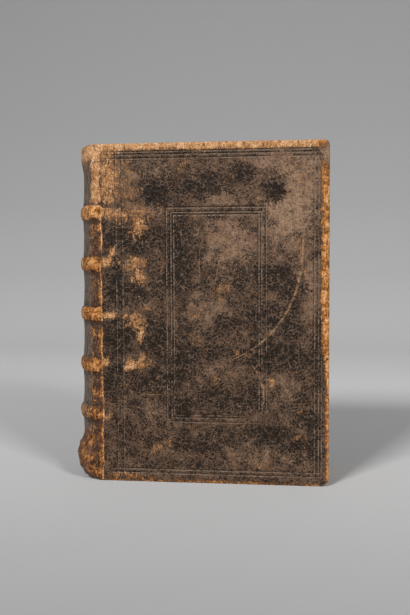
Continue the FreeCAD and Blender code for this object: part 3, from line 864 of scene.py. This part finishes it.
def steps(start, end, coarse, marks):
    # places along a line, closer together beside each (mark, reach, step)
    found = [start]
    while found[-1] < end - 0.3 * coarse:
        here = found[-1]
        step = coarse
        for mark, reach, fine in marks:
            if abs(here + 0.5 * fine - mark) < reach:
                step = min(step, fine)
        found.append(min(end, here + step))
    found[-1] = end
    return found


def skinGrid():
    left, right, low, high = innerFrame()
    line = (0.60, 0.24)
    stamp = (tooling["stampRadius"], 0.5)
    columnMarks = [(place, *line) for place in tooling["joint"]]
    columnMarks += [(coverWide - place, *line) for place in tooling["fore"]]
    rowMarks = [(coverHigh - place, *line) for place in tooling["head"]]
    rowMarks += [(place, *line) for place in tooling["tail"]]
    for pitch in (0.0, *tooling["innerPitches"]):
        columnMarks += [(left + pitch, *line), (right - pitch, *line)]
        rowMarks += [(low + pitch, *line), (high - pitch, *line)]
    for x, z in stampCentres():
        columnMarks.append((x, *stamp))
        rowMarks.append((z, *stamp))
    for height in bandHeights:
        rowMarks += [(height - relief["bandHalf"], 0.8, 0.35), (height + relief["bandHalf"], 0.8, 0.35)]
    edge = relief["edgeRound"]
    # the row that bendRows draws in to the worm hole
    bendLow, tailHigh = relief["bendLow"], float(endRounds(wormHole["run"])[2])
    holeRow = edge + (wormHole["fromTail"] - tailHigh) * (bendLow - edge) / (bendLow - tailHigh)
    rowMarks.append((holeRow, 1.3, 0.22))
    onBack = steps(-back["halfRun"] + 0.1, -1.5, 0.70, [(wormHole["run"], 0.8, 0.2)])
    atJoint = steps(-1.5, 1.5, 0.25, [])
    onCover = steps(1.5, coverWide - edge, 1.1, columnMarks)
    columns = [-back["halfRun"]] + onBack[:-1] + atJoint[:-1] + onCover
    rows = steps(edge, coverHigh - edge, 1.1, rowMarks)
    return np.array(columns), np.array(rows)


def roundCorner(s, z):
    # squeezes the square corners of the cover's grid into its rounded ones
    edge = relief["edgeRound"]
    for corner, up in ((relief["headCorner"], 1), (relief["tailCorner"], -1)):
        r = corner - edge
        cs = coverWide - edge - r
        cz = coverHigh - edge - r if up > 0 else edge + r
        u = np.clip((s - cs) / r, 0, 1)
        v = np.clip(up * (z - cz) / r, 0, 1)
        inside = (u > 0) & (v > 0)
        s, z = (np.where(inside, cs + r * u * np.sqrt(1 - v * v / 2), s),
                np.where(inside, cz + up * r * v * np.sqrt(1 - u * u / 2), z))
    return s, z


def endRounds(s):
    # how far the rounding reaches up the back and into it, at the head and the tail
    fall = smooth(0.2, 8.0, -s)
    edge = relief["edgeRound"]
    head = edge + (relief["headRound"] - edge) * fall
    tailHigh = edge + (relief["tailRoundHigh"] - edge) * fall
    tailDeep = edge + (relief["tailRoundDeep"] - edge) * fall
    return fall, head, tailHigh, tailDeep


def bendRows(s, z):
    # draws the rows in where the back's ends are rounder than the cover's
    head, tailHigh = endRounds(s)[1:3]
    edge = relief["edgeRound"]
    low, high = relief["bendLow"], coverHigh - 12.0
    z = np.where(z < low, tailHigh + (z - edge) * (low - tailHigh) / (low - edge), z)
    return np.where(z > high, high + (z - high) * (coverHigh - head - high) / (coverHigh - edge - high), z)


def borderDirections(s, z, count, columnCount):
    # which way is out at each point of the border, along the skin
    outS, outZ = np.zeros(count), np.zeros(count)
    outZ[:columnCount], outZ[-columnCount:] = 1, -1
    edge = relief["edgeRound"]
    for corner, up in ((relief["headCorner"], 1), (relief["tailCorner"], -1)):
        r = corner - edge
        ds = s - (coverWide - edge - r)
        dz = z - (coverHigh - edge - r if up > 0 else edge + r)
        turning = (ds > 1e-6) & (up * dz > 1e-6)
        length = np.hypot(ds, dz)
        outS[turning] = ds[turning] / length[turning]
        outZ[turning] = dz[turning] / length[turning]
    outS[(outS == 0) & (outZ == 0)] = 1
    return outS, outZ


def calfSkin(side, material):
    # one half of the covering: a cover and half of the back, closed, with its turn-ins
    columns, rows = skinGrid()
    nc, nr = len(columns), len(rows)
    s, z = (axis.ravel() for axis in np.meshgrid(columns, rows))
    flatZ = z.copy()
    z = bendRows(s, z)
    s, z = roundCorner(s, z)
    lift = skinLift(s, z, side)
    points = placeOnSkin(s, z, lift, side)

    # the border, from the middle of the back along the head, down the fore-edge and back along the tail
    border = list(range((nr - 1) * nc, nr * nc))
    border += [r * nc + nc - 1 for r in range(nr - 2, 0, -1)]
    border += list(range(nc - 1, -1, -1))
    n = len(border)
    bs, bz, bl, fz = s[border], z[border], lift[border], flatZ[border]
    outS, outZ = borderDirections(bs, bz, n, nc)
    fall, headRound, tailHigh, tailDeep = endRounds(bs)
    atTail = np.arange(n) >= n - nc
    high = np.where(atTail, tailHigh, headRound)
    deep = np.where(atTail, tailDeep, headRound)
    edge, thick = relief["edgeRound"], relief["thickness"]
    onCover = bs > 0.1
    high, deep = np.where(onCover, edge, high), np.where(onCover, edge, deep)
    lip = coverDeep + (np.where(atTail, relief["tailLip"], relief["headLip"]) - coverDeep) * fall
    turnIn = relief["turnIn"]
    inS = bs * (coverWide - turnIn) / (coverWide - edge)
    inZ = turnIn + (fz - edge) / (coverHigh - 2 * edge) * (coverHigh - 2 * turnIn)
    inZ = np.where(np.arange(n) < nc, coverHigh - turnIn, np.where(atTail, turnIn, inZ))

    rings = []

    def addRing(coverOut, coverDepth, backOut, backDepth, inward=0.0, keep=1.0, arc=0.0):
        # how far out and how deep a ring lies, on the cover and on the back
        out = np.where(onCover, coverOut, backOut)
        ringS, ringZ = bs + outS * out, bz + outZ * out
        if inward:
            ringS = np.where(onCover, ringS + (inS - ringS) * inward, ringS)
            ringZ = np.where(onCover, ringZ + (inZ - ringZ) * inward, ringZ)
        lumps = tailLumps(bs, bz - np.where(atTail, arc, 0)) - tailLumps(bs, bz)
        onBack = bl - backDepth + lumps * atTail * keep
        ringLift = np.where(onCover, bl * keep - coverDepth, onBack)
        rings.append((ringS, ringZ, ringLift))

    for i in range(1, 8):
        a = math.pi / 2 * i / 7
        out, fallen = math.sin(a), 1 - math.cos(a)
        addRing(edge * out, edge * fallen, high * out, deep * fallen, keep=1 - 0.3 * i / 7, arc=high * a)
    for i in range(1, 4):
        addRing(edge, edge + (coverDeep - 0.35 - edge) * i / 3, high, deep + (lip - deep) * i / 3,
                keep=0.7 - 0.7 * i / 3, arc=high * math.pi / 2)
    addRing(edge - 0.12, coverDeep - 0.1, high - 0.3, lip + 0.05, keep=0)
    addRing(edge - 0.4, coverDeep, high - thick + 0.1, lip, keep=0)
    for i in range(1, 6):
        a = math.pi / 2 * (1 - i / 6)
        addRing(edge - 0.4, coverDeep, (high - thick) * math.sin(a), deep - (deep - thick) * math.cos(a),
                inward=(i / 5) ** 1.4, keep=0)
    under = coverDeep - relief["turnInThickness"]
    addRing(edge, under, 0 * bs, 0 * bs + thick, inward=1.0, keep=0)
    addRing(edge - thick, under, 0 * bs - 1, 0 * bs + thick + 0.02, keep=0)
    addRing(edge - thick, thick, 0 * bs - 3, 0 * bs + thick + 0.02 + bl, keep=0)

    allPoints, allSkin = [points], [np.stack([s, z], 1)]
    travel, previous = np.zeros(n), points[border]
    for ringS, ringZ, ringLift in rings:
        here = placeOnSkin(ringS, ringZ, ringLift, side)
        travel = travel + np.linalg.norm(here - previous, axis=1)
        previous = here
        allPoints.append(here)
        allSkin.append(np.stack([bs + outS * travel, bz + outZ * travel], 1))
    points, skin = np.concatenate(allPoints), np.concatenate(allSkin)

    faces = [(a, a + 1, a + nc + 1, a + nc) for r in range(nr - 1) for a in range(r * nc, r * nc + nc - 1)]
    base = nr * nc
    loops = [border] + [list(range(base + k * n, base + (k + 1) * n)) for k in range(len(rings))]
    for inner, outer in zip(loops, loops[1:]):
        faces += [(inner[i], inner[i + 1], outer[i + 1], outer[i]) for i in range(n - 1)]
    last = loops[-1]
    backCount = int(np.sum(columns <= 0.1))
    faces += [(last[c], last[c + 1], last[n - 2 - c], last[n - 1 - c]) for c in range(backCount - 1)]
    faces.append(tuple(last[backCount - 1:n - backCount + 1]))
    seam = [r * nc for r in range(nr)] + [loop[0] for loop in loops[1:]]
    seam += [loop[-1] for loop in reversed(loops[1:])]
    faces.append(tuple(seam))
    if side > 0:
        faces = [tuple(reversed(face)) for face in faces]

    piece = meshPiece("frontLeather" if side < 0 else "backLeather", points, faces, material)
    fields = tintFields(skin[:, 0], skin[:, 1], side)
    ringOf = np.concatenate([np.zeros(base), np.repeat(np.arange(len(rings)), n)])
    inside = ringOf > relief["lastWornRing"]
    fields["worn"] = np.where(inside, 0.30, fields["worn"])
    fields["rust"] = np.where(inside, 0.9, fields["rust"])
    for key, values in fields.items():
        giveValues(piece, key, values)
    # the skin unrolled from the middle of the back, so that both halves meet there
    across = (back["halfRun"] + skin[:, 0]) * (1 if side < 0 else -1)
    giveValues(piece, "skin", np.stack([across, skin[:, 1], np.zeros(len(across))], 1), "FLOAT_VECTOR")
    return piece


def foldAt(piece):
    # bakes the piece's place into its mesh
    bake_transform(piece)


calf = calfLeather()
for side, cover in ((-1, "front_cover"), (1, "back_cover")):
    skinPiece = calfSkin(side, calf)
    foldAt(skinPiece)
    if side < 0:
        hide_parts("front_leather", "spine_leather")
    else:
        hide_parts("back_leather")
    print("leather half:", len(skinPiece.data.polygons), "faces")


# Paper

paper = {
    "page": (0.56, 0.44, 0.29),
    "pageDark": (0.24, 0.145, 0.075),
    "edgeLight": (0.60, 0.43, 0.25),
    "edgeDark": (0.20, 0.115, 0.055),
    "spot": (0.23, 0.12, 0.05),
    "stain": (0.34, 0.22, 0.12),
    "sections": 26,
    "leavesInSection": 8,
    "hollow": 8.0,
}


def agedPaper():
    material, tree, shader = newMaterial("agedPaper")
    place = objectPlace(tree)
    edge = attribute(tree, "toEdge")
    broad = cloud(tree, place, 30, 4.0, 0.6)
    mottle = cloud(tree, place, 5, 6.0, 0.65)
    fibre = cloud(tree, place, 0.7, 3.0, 0.6, stretch=(1, 1, 0.3))
    rim = spread(tree, addUp(tree, edge, (mottle, 3.5), (broad, 5.0)), 0.0, 22.0, 1.0, 0.0)
    tone = addUp(tree, 0.24, (rim, 0.50), (broad, 0.18), (mottle, 0.11), (fibre, 0.06))
    colour = twoTones(tree, tone, paper["page"], paper["pageDark"])
    spots = spread(tree, addUp(tree, cloud(tree, place, 2.6, 2.0, 0.5), (broad, 0.45)), 0.80, 1.15)
    colour = blendColour(tree, times(tree, spots, 0.55), colour, paper["spot"])
    stain = spread(tree, cloud(tree, place, 38, 5.0, 0.6, 0.4), 0.30, 0.62, 0.0, 0.40)
    colour = blendColour(tree, stain, colour, paper["stain"])
    inputs = {"Vector": place, "Scale": 0.35, "Distortion": 0.4, "Detail": 1.0}
    lines = node(tree, "ShaderNodeTexWave", inputs, bands_direction="Z").outputs["Fac"]
    height = addUp(tree, fibre, (lines, 0.15), (mottle, 0.6))
    dressShader(tree, shader, colour, 0.88, 0.2, height, 0.00006)
    return material


def pageEdges():
    material, tree, shader = newMaterial("pageEdges")
    leaf = attribute(tree, "leaf", "Vector")
    thin = cloud(tree, leaf, 0.16, 2.0, 0.6, stretch=(1.0, 0.035, 1.0))
    section = cloud(tree, leaf, 1.1, 2.0, 0.5, stretch=(1.0, 0.02, 1.0))
    dirt = cloud(tree, leaf, 14, 5.0, 0.65)
    speck = cloud(tree, leaf, 0.8, 3.0, 0.6)
    tone = addUp(tree, 0.45, (thin, 0.22), (section, 0.14), (dirt, 0.16), (speck, 0.06),
                 (attribute(tree, "dust"), 0.22))
    colour = twoTones(tree, tone, paper["edgeLight"], paper["edgeDark"])
    height = addUp(tree, 0.0, (thin, -1.0), (section, -0.6))
    dressShader(tree, shader, colour, 0.92, 0.15, height, 0.00012)
    return material


def leafPlace(u, v):
    # u across the leaves from front to back, v along a leaf from the sewn back to the fore-edge
    inner = back["pagesIn"]
    run = (1 - abs(u)) * back["halfRun"]
    s = np.array([-(run + 0.02)])
    root = placeOnSkin(s, s * 0, -inner + s * 0, -1 if u < 0 else 1)[0]
    rootX, rootY = root[0] - jointX, root[1]
    end = pageWide - paper["hollow"] * (1 - u * u)
    x = rootX + (end - rootX) * v
    level = pageHalf * u
    return x, level + (rootY - level) * fade(0.0, 8.0, x - rootX)


def textBlock(paperMaterial, edgeMaterial):
    leaves = paper["sections"] * paper["leavesInSection"]
    nu, nv, nz = leaves, 44, 40
    draw = np.random.default_rng(7)
    sectionStep = np.repeat(draw.uniform(-1, 1, paper["sections"]), paper["leavesInSection"])
    leafStep = draw.uniform(-1, 1, leaves)
    foreStep = np.append(0.16 * sectionStep + 0.10 * leafStep, 0.0)
    endStep = np.append(0.13 * sectionStep + 0.07 * leafStep, 0.0)
    along = np.concatenate([np.linspace(0, 0.16, 17)[:-1], np.linspace(0.16, 1, nv - 15)])
    heights = np.linspace(pageLow, pageTop, nz + 1)
    points, leafValue, dust, index = [], [], [], {}

    def corner(i, j, k):
        # i across, j along, k up
        key = (i, j, k)
        if key not in index:
            u = -1 + 2 * i / nu
            x, y = leafPlace(u, along[j])
            inside = 0 < i < nu
            if inside:
                x += foreStep[i] * smooth(0.9, 1.0, along[j])
            z = heights[k]
            if k in (0, nz) and inside:
                z += (-1 if k == nz else 1) * (0.2 + endStep[i]) * smooth(0.0, 0.2, along[j])
            index[key] = len(points)
            points.append((jointX + x, y, z))
            run = x if k in (0, nz) else z
            leafValue.append((u * pageHalf, run, 40.0 * (k == nz) + 90.0 * (j == len(along) - 1)))
            dust.append(1.0 if k == nz else 0.3)
        return index[key]

    faces, finish = [], []
    nv = len(along) - 1

    def quad(a, b, c, d, slot):
        faces.append((corner(*a), corner(*b), corner(*c), corner(*d)))
        finish.append(slot)

    for i in range(nu):
        for j in range(nv):
            quad((i, j, 0), (i + 1, j, 0), (i + 1, j + 1, 0), (i, j + 1, 0), 1)
            quad((i, j, nz), (i, j + 1, nz), (i + 1, j + 1, nz), (i + 1, j, nz), 1)
        for k in range(nz):
            quad((i, nv, k), (i + 1, nv, k), (i + 1, nv, k + 1), (i, nv, k + 1), 1)
            quad((i, 0, k), (i, 0, k + 1), (i + 1, 0, k + 1), (i + 1, 0, k), 1)
    for j in range(nv):
        for k in range(nz):
            quad((0, j, k), (0, j + 1, k), (0, j + 1, k + 1), (0, j, k + 1), 0)
            quad((nu, j, k), (nu, j, k + 1), (nu, j + 1, k + 1), (nu, j + 1, k), 0)
    piece = meshPiece("textBlock", points, faces, paperMaterial)
    piece.data.materials.append(edgeMaterial)
    piece.data.polygons.foreach_set("material_index", finish)
    piece.data.polygons.foreach_set("use_smooth", [slot == 0 for slot in finish])
    giveValues(piece, "leaf", leafValue, "FLOAT_VECTOR")
    giveValues(piece, "dust", dust)
    spots = np.array(points)
    giveValues(piece, "toEdge", np.minimum(np.minimum(spots[:, 2] - pageLow, pageTop - spots[:, 2]),
                                           jointX + pageWide - spots[:, 0]))
    return piece


endpaper = {
    "margin": 4.0,
    "start": 0.45,
    "leafDepth": 4.31,
    "pasteThickness": 0.2,
    "leafThickness": 0.1,
    "embossEase": 1.2,
    "foldPinch": 0.16,
    "rows": 90,
}


def endpaperSheet(side, material):
    # pastedown, fold and flyleaf in one, from the cover's fore-edge to the joint and back
    name = "frontEndpaper" if side < 0 else "backEndpaper"
    centre = (pasteDepth + endpaper["leafDepth"]) / 2
    start, margin, inner = endpaper["start"], endpaper["margin"], relief["turnIn"]
    turnEnd = coverWide - inner
    board = np.concatenate([
        np.linspace(coverWide - margin, turnEnd - 3, 10)[:-1], np.linspace(turnEnd - 3, turnEnd - 6, 4)[:-1],
        np.linspace(turnEnd - 6, 9, 40)[:-1], np.linspace(9, start, 12),
    ])
    angles = np.linspace(-math.pi / 2, math.pi / 2, 19)[1:-1]
    leaf = np.concatenate([np.linspace(start, 9, 10), np.linspace(9, pageWide - 0.3, 40)[1:]])
    shown, hidden, isLeaf = [], [], []
    for x in board:
        shown.append((x, pasteDepth))
        hidden.append((x, pasteDepth - endpaper["pasteThickness"]))
        isLeaf.append(0.0)
    for a in angles:
        near, far = (pasteDepth - centre), endpaper["foldPinch"] * abs(math.sin(a)) ** 3
        level = centre - near * math.sin(a)
        shown.append((start + near * math.cos(a), level))
        hidden.append((start - 0.02 + (near - far) * math.cos(a), level + far * math.sin(a)))
        isLeaf.append(0.5 + 0.5 * math.sin(a))
    for x in leaf:
        shown.append((x, endpaper["leafDepth"]))
        hidden.append((x, endpaper["leafDepth"] + endpaper["leafThickness"]))
        isLeaf.append(1.0)
    nc, rowCount = len(shown), endpaper["rows"]
    points, toEdge = [], []
    for path in (shown, hidden):
        for r in range(rowCount + 1):
            t = r / rowCount
            for c, (x, depth) in enumerate(path):
                low = margin + (pageLow + 0.3 - margin) * isLeaf[c]
                z = low + (coverHigh - 2 * low) * t
                if isLeaf[c] == 0:
                    rim = min(z - inner, coverHigh - inner - z, turnEnd - x)
                    sunk = float(smooth(-0.2, endpaper["embossEase"], rim))
                    sunk *= float(smooth(start, start + 1.5, x))
                    ripple = 0.02 * noise.noise(Vector((x / 6, z / 6, side)))
                    depth = depth - (pasteDepth - sunkDepth) * sunk + ripple * sunk
                points.append((jointX + x, side * (halfBook - depth), z))
                toEdge.append(min(z - low, coverHigh - low - z, coverWide - margin - x, 40))
    size = nc * (rowCount + 1)
    faces = []
    for r in range(rowCount):
        for c in range(nc - 1):
            a = r * nc + c
            faces.append((a, a + 1, a + nc + 1, a + nc))
            faces.append((size + a, size + a + nc, size + a + nc + 1, size + a + 1))
    loop = list(range(nc)) + [r * nc + nc - 1 for r in range(1, rowCount + 1)]
    loop += [rowCount * nc + c for c in range(nc - 2, -1, -1)]
    loop += [r * nc for r in range(rowCount - 1, 0, -1)]
    for a, b in zip(loop, loop[1:] + loop[:1]):
        faces.append((a, size + a, size + b, b))
    if side < 0:
        faces = [tuple(reversed(face)) for face in faces]
    piece = meshPiece(name, points, faces, material)
    giveValues(piece, "toEdge", toEdge)
    return piece


pagePaper, edgePaper = agedPaper(), pageEdges()
block = textBlock(pagePaper, edgePaper)
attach(block, "book_block")
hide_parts("text_block")
print("text block:", len(block.data.polygons), "faces")
for side, cover in ((-1, "front_cover"), (1, "back_cover")):
    paperPiece = endpaperSheet(side, pagePaper)
    foldAt(paperPiece)
    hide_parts("front_pastedown" if side < 0 else "back_pastedown")
    print("endpaper:", len(paperPiece.data.polygons), "faces")


# Endbands

endbands = {
    "coreRadius": 0.0007,
    "threadRadius": 0.00017,
    "spacing": 0.00036,
    "run": 5,
    "sockets": {
        "Core Radius": "coreRadius", "Thread Radius": "threadRadius", "Spacing": "spacing", "Run": "run",
    },
    "head": {"lift": -2.6, "height": 168.05},
    "tail": {"lift": -6.0, "height": 1.95},
    "lightThread": (0.52, 0.38, 0.20),
    "darkThread": (0.20, 0.060, 0.035),
}


def threadMaterial(name, colour):
    material, tree, shader = newMaterial(name)
    dirt = cloud(tree, objectPlace(tree), 1.5, 4.0, 0.6)
    low = tuple(0.55 * part for part in colour)
    dressShader(tree, shader, twoTones(tree, addUp(tree, 0.5, (dirt, 0.35)), low, colour), 0.7)
    shader["Sheen Weight"].default_value = 0.2
    return material


def wrapTree(light, dark):
    # winds thread in two colours round a core that follows the curve
    tree = bpy.data.node_groups.new("threadWraps", "GeometryNodeTree")
    tree.interface.new_socket("Geometry", in_out="INPUT", socket_type="NodeSocketGeometry")
    for label in ("Core Radius", "Thread Radius", "Spacing"):
        tree.interface.new_socket(label, in_out="INPUT", socket_type="NodeSocketFloat")
    tree.interface.new_socket("Run", in_out="INPUT", socket_type="NodeSocketInt")
    tree.interface.new_socket("Geometry", in_out="OUTPUT", socket_type="NodeSocketGeometry")
    given = tree.nodes.new("NodeGroupInput").outputs

    def circle(corners, radius):
        inputs = {"Resolution": corners, "Radius": radius}
        return node(tree, "GeometryNodeCurvePrimitiveCircle", inputs).outputs["Curve"]

    def paint(geometry, material):
        inputs = {"Geometry": geometry, "Material": material}
        painted = node(tree, "GeometryNodeSetMaterial", inputs).outputs["Geometry"]
        tree.links.new(painted, join.inputs["Geometry"])

    curve = node(tree, "GeometryNodeMeshToCurve", {"Mesh": given["Geometry"]}).outputs["Curve"]
    inputs = {"Curve": curve, "Length": given["Spacing"]}
    thin = node(tree, "GeometryNodeResampleCurve", inputs, mode="LENGTH").outputs["Curve"]
    spots = node(tree, "GeometryNodeCurveToPoints", {"Curve": thin}, mode="EVALUATED").outputs
    inputs = {"Curve": circle(18, given["Core Radius"]), "Profile Curve": circle(6, given["Thread Radius"])}
    wrap = node(tree, "GeometryNodeCurveToMesh", inputs).outputs["Mesh"]
    order = tree.nodes.new("GeometryNodeInputIndex").outputs["Index"]
    double = times(tree, given["Run"], 2.0)
    inputs = {0: calc(tree, "MODULO", order, double), 1: given["Run"]}
    early = node(tree, "FunctionNodeCompare", inputs, operation="LESS_THAN").outputs["Result"]
    late = node(tree, "FunctionNodeBooleanMath", {0: early}, operation="NOT").outputs[0]
    join = tree.nodes.new("GeometryNodeJoinGeometry")
    for chosen, material in ((early, light), (late, dark)):
        inputs = {"Points": spots["Points"], "Selection": chosen, "Instance": wrap,
                  "Rotation": spots["Rotation"]}
        placed = node(tree, "GeometryNodeInstanceOnPoints", inputs).outputs["Instances"]
        real = node(tree, "GeometryNodeRealizeInstances", {"Geometry": placed}).outputs["Geometry"]
        paint(real, material)
    inputs = {"Curve": thin, "Profile Curve": circle(12, given["Core Radius"]), "Fill Caps": True}
    paint(node(tree, "GeometryNodeCurveToMesh", inputs).outputs["Mesh"], dark)
    done = tree.nodes.new("NodeGroupOutput")
    tree.links.new(join.outputs["Geometry"], done.inputs["Geometry"])
    return tree


def endband(name, place, tree):
    s = -np.linspace(back["halfRun"], 0.6, 70)
    level = np.full_like(s, place["height"])
    front, rear = (placeOnSkin(s, level, np.full_like(s, place["lift"]), side) for side in (-1, 1))
    path = np.concatenate([front[::-1], rear[1:]]) * mm
    mesh = bpy.data.meshes.new(name + "Path")
    mesh.from_pydata([tuple(point) for point in path], [(i, i + 1) for i in range(len(path) - 1)], [])
    guide = addPiece(name + "Path", mesh)
    change = guide.modifiers.new("wraps", "NODES")
    change.node_group = tree
    sockets = {item.name: item.identifier for item in tree.interface.items_tree if item.in_out == "INPUT"}
    for label, key in endbands["sockets"].items():
        change[sockets[label]] = endbands[key]
    graph = bpy.context.evaluated_depsgraph_get()
    done = bpy.data.meshes.new_from_object(guide.evaluated_get(graph))
    bpy.data.objects.remove(guide)
    done.shade_smooth()
    done.name = name
    return addPiece(name, done)


wraps = wrapTree(*[threadMaterial(name, endbands[name]) for name in ("lightThread", "darkThread")])
for end in ("head", "tail"):
    bandPiece = endband(end + "Endband", endbands[end], wraps)
    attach(bandPiece, "book_block")
    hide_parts(end + "_endband")
    print("endband:", len(bandPiece.data.polygons), "faces")


# Plain finishes for what lies under the leather

def plainFinish(name, low, high, size, stretch=(1, 1, 1), bump=0.0001):
    material, tree, shader = newMaterial(name)
    place = objectPlace(tree, stretch)
    coarse, fine = cloud(tree, place, size, 5.0, 0.65), cloud(tree, place, size / 6, 3.0, 0.6)
    tone = addUp(tree, 0.5, (coarse, 0.28), (fine, 0.15))
    dressShader(tree, shader, twoTones(tree, tone, low, high), 0.9, 0.5, tone, bump)
    return material


pasteboard = plainFinish("pasteboard", (0.13, 0.088, 0.052), (0.34, 0.25, 0.16), 3.0)
hempCord = plainFinish("hempCord", (0.15, 0.10, 0.05), (0.42, 0.31, 0.18), 1.2, (1, 1, 0.3), 0.0003)
linen = plainFinish("pastedLinen", (0.24, 0.18, 0.11), (0.50, 0.42, 0.30), 0.8)
finishes = {
    "board": pasteboard, "cord": hempCord, "slip": hempCord, "lining": linen,
    "text": pagePaper, "paste": pagePaper,
}
for name, cadNode in frame["nodes"].items():
    kinds = [key for key in finishes if key in name]
    cadNode.data.materials.clear()
    cadNode.data.materials.append(finishes[kinds[0]] if kinds else calf)

# Studio

studio = {
    # painted light falloff on the backdrop: the floor darker towards the camera, the wall brightest where it
    # bends up and darker higher up
    "floorPaintedFalloff": ((0.08, 0.295), (0.21, 0.425), (0.46, 0.60), (0.85, 0.61)),
    "wallPaintedFalloff": ((0.0, 1.0), (0.08, 0.82), (0.20, 0.70), (0.35, 0.63), (0.60, 0.57), (1.0, 0.52)),
    "nearest": -0.3,
    "length": 1.2,
    "wallAt": 1.3,
    "bend": 0.7,
    "halfWidth": 3.0,
    "boxes": {
        "keyBox": {"place": (-0.62, -1.45, 1.25), "aim": (0, 0, 0.08), "size": (0.45, 0.45), "power": 38},
        "fillBox": {"place": (1.05, -1.3, 0.90), "aim": (0, 0, 0.08), "size": (0.42, 0.38), "power": 24},
        "topBox": {"place": (0.0, 0.1, 1.9), "aim": (0, 0, 0), "size": (1.4, 1.0), "power": 2},
    },
    "worldColour": (0.5, 0.5, 0.51, 1),
    "worldStrength": 0.20,
}


def backdrop():
    material, tree, shader = newMaterial("paperSweep")
    place = node(tree, "ShaderNodeTexCoord").outputs["Object"]
    parts = node(tree, "ShaderNodeSeparateXYZ", {0: place}).outputs
    away = calc(tree, "DIVIDE", minus(tree, parts["Y"], studio["nearest"]), studio["length"])
    # painted light and shade: the backdrop's grey falls off towards the camera and up the wall
    floorFalloff = ramp(tree, away, [(at, (tone, tone, tone)) for at, tone in studio["floorPaintedFalloff"]])
    wallFalloff = ramp(tree, parts["Z"], [(at, (tone, tone, tone)) for at, tone in studio["wallPaintedFalloff"]])
    dressShader(tree, shader, blendColour(tree, 1.0, floorFalloff, wallFalloff, "MULTIPLY"), 0.9, 0.2)
    bendAt = studio["wallAt"] - studio["bend"]
    line = [(-2.2, 0.0)]
    for i in range(13):
        a = math.pi / 2 * i / 12
        line.append((bendAt + studio["bend"] * math.sin(a), studio["bend"] * (1 - math.cos(a))))
    line.append((studio["wallAt"], 3.0))
    wide = studio["halfWidth"]
    points = [(x / mm, y / mm, z / mm) for y, z in line for x in (-wide, wide)]
    faces = [(2 * i, 2 * i + 1, 2 * i + 3, 2 * i + 2) for i in range(len(line) - 1)]
    meshPiece("paperSweep", points, faces, material)


def softbox(name, place, aim, size, power):
    data = bpy.data.lights.new(name, "AREA")
    data.shape = "RECTANGLE"
    data.size, data.size_y = size
    data.energy = power
    lamp = bpy.data.objects.new(name, data)
    lamp.location = place
    lamp.rotation_euler = (Vector(aim) - Vector(place)).to_track_quat("-Z", "Y").to_euler()
    bpy.context.scene.collection.objects.link(lamp)


backdrop()
for name, settings in studio["boxes"].items():
    softbox(name, **settings)
world = bpy.data.worlds.new("studioWorld")
world.use_nodes = True
worldLight = world.node_tree.nodes["Background"].inputs
worldLight["Color"].default_value = studio["worldColour"]
worldLight["Strength"].default_value = studio["worldStrength"]
bpy.context.scene.world = world

view = {  # from the corners of the front cover in the photograph
    "place": (0.0636, -0.4623, 0.1161),
    "yaw": 7.63,
    "pitch": -3.55,
    "roll": -0.27,
    "focalPixels": 900.0,
    "framePixels": 615.0,
}


def camera():
    data = bpy.data.cameras.new("camera")
    data.sensor_fit = "VERTICAL"
    data.sensor_height = 24.0
    data.lens = view["focalPixels"] / view["framePixels"] * data.sensor_height
    data.clip_start = 0.01
    eye = bpy.data.objects.new("camera", data)
    eye.location = view["place"]
    yaw, pitch, roll = (math.radians(view[key]) for key in ("yaw", "pitch", "roll"))
    eye.rotation_euler = (math.pi / 2 + pitch, -roll, yaw)
    bpy.context.scene.collection.objects.link(eye)
    bpy.context.scene.camera = eye


camera()
bpy.context.scene.view_settings.view_transform = "Standard"
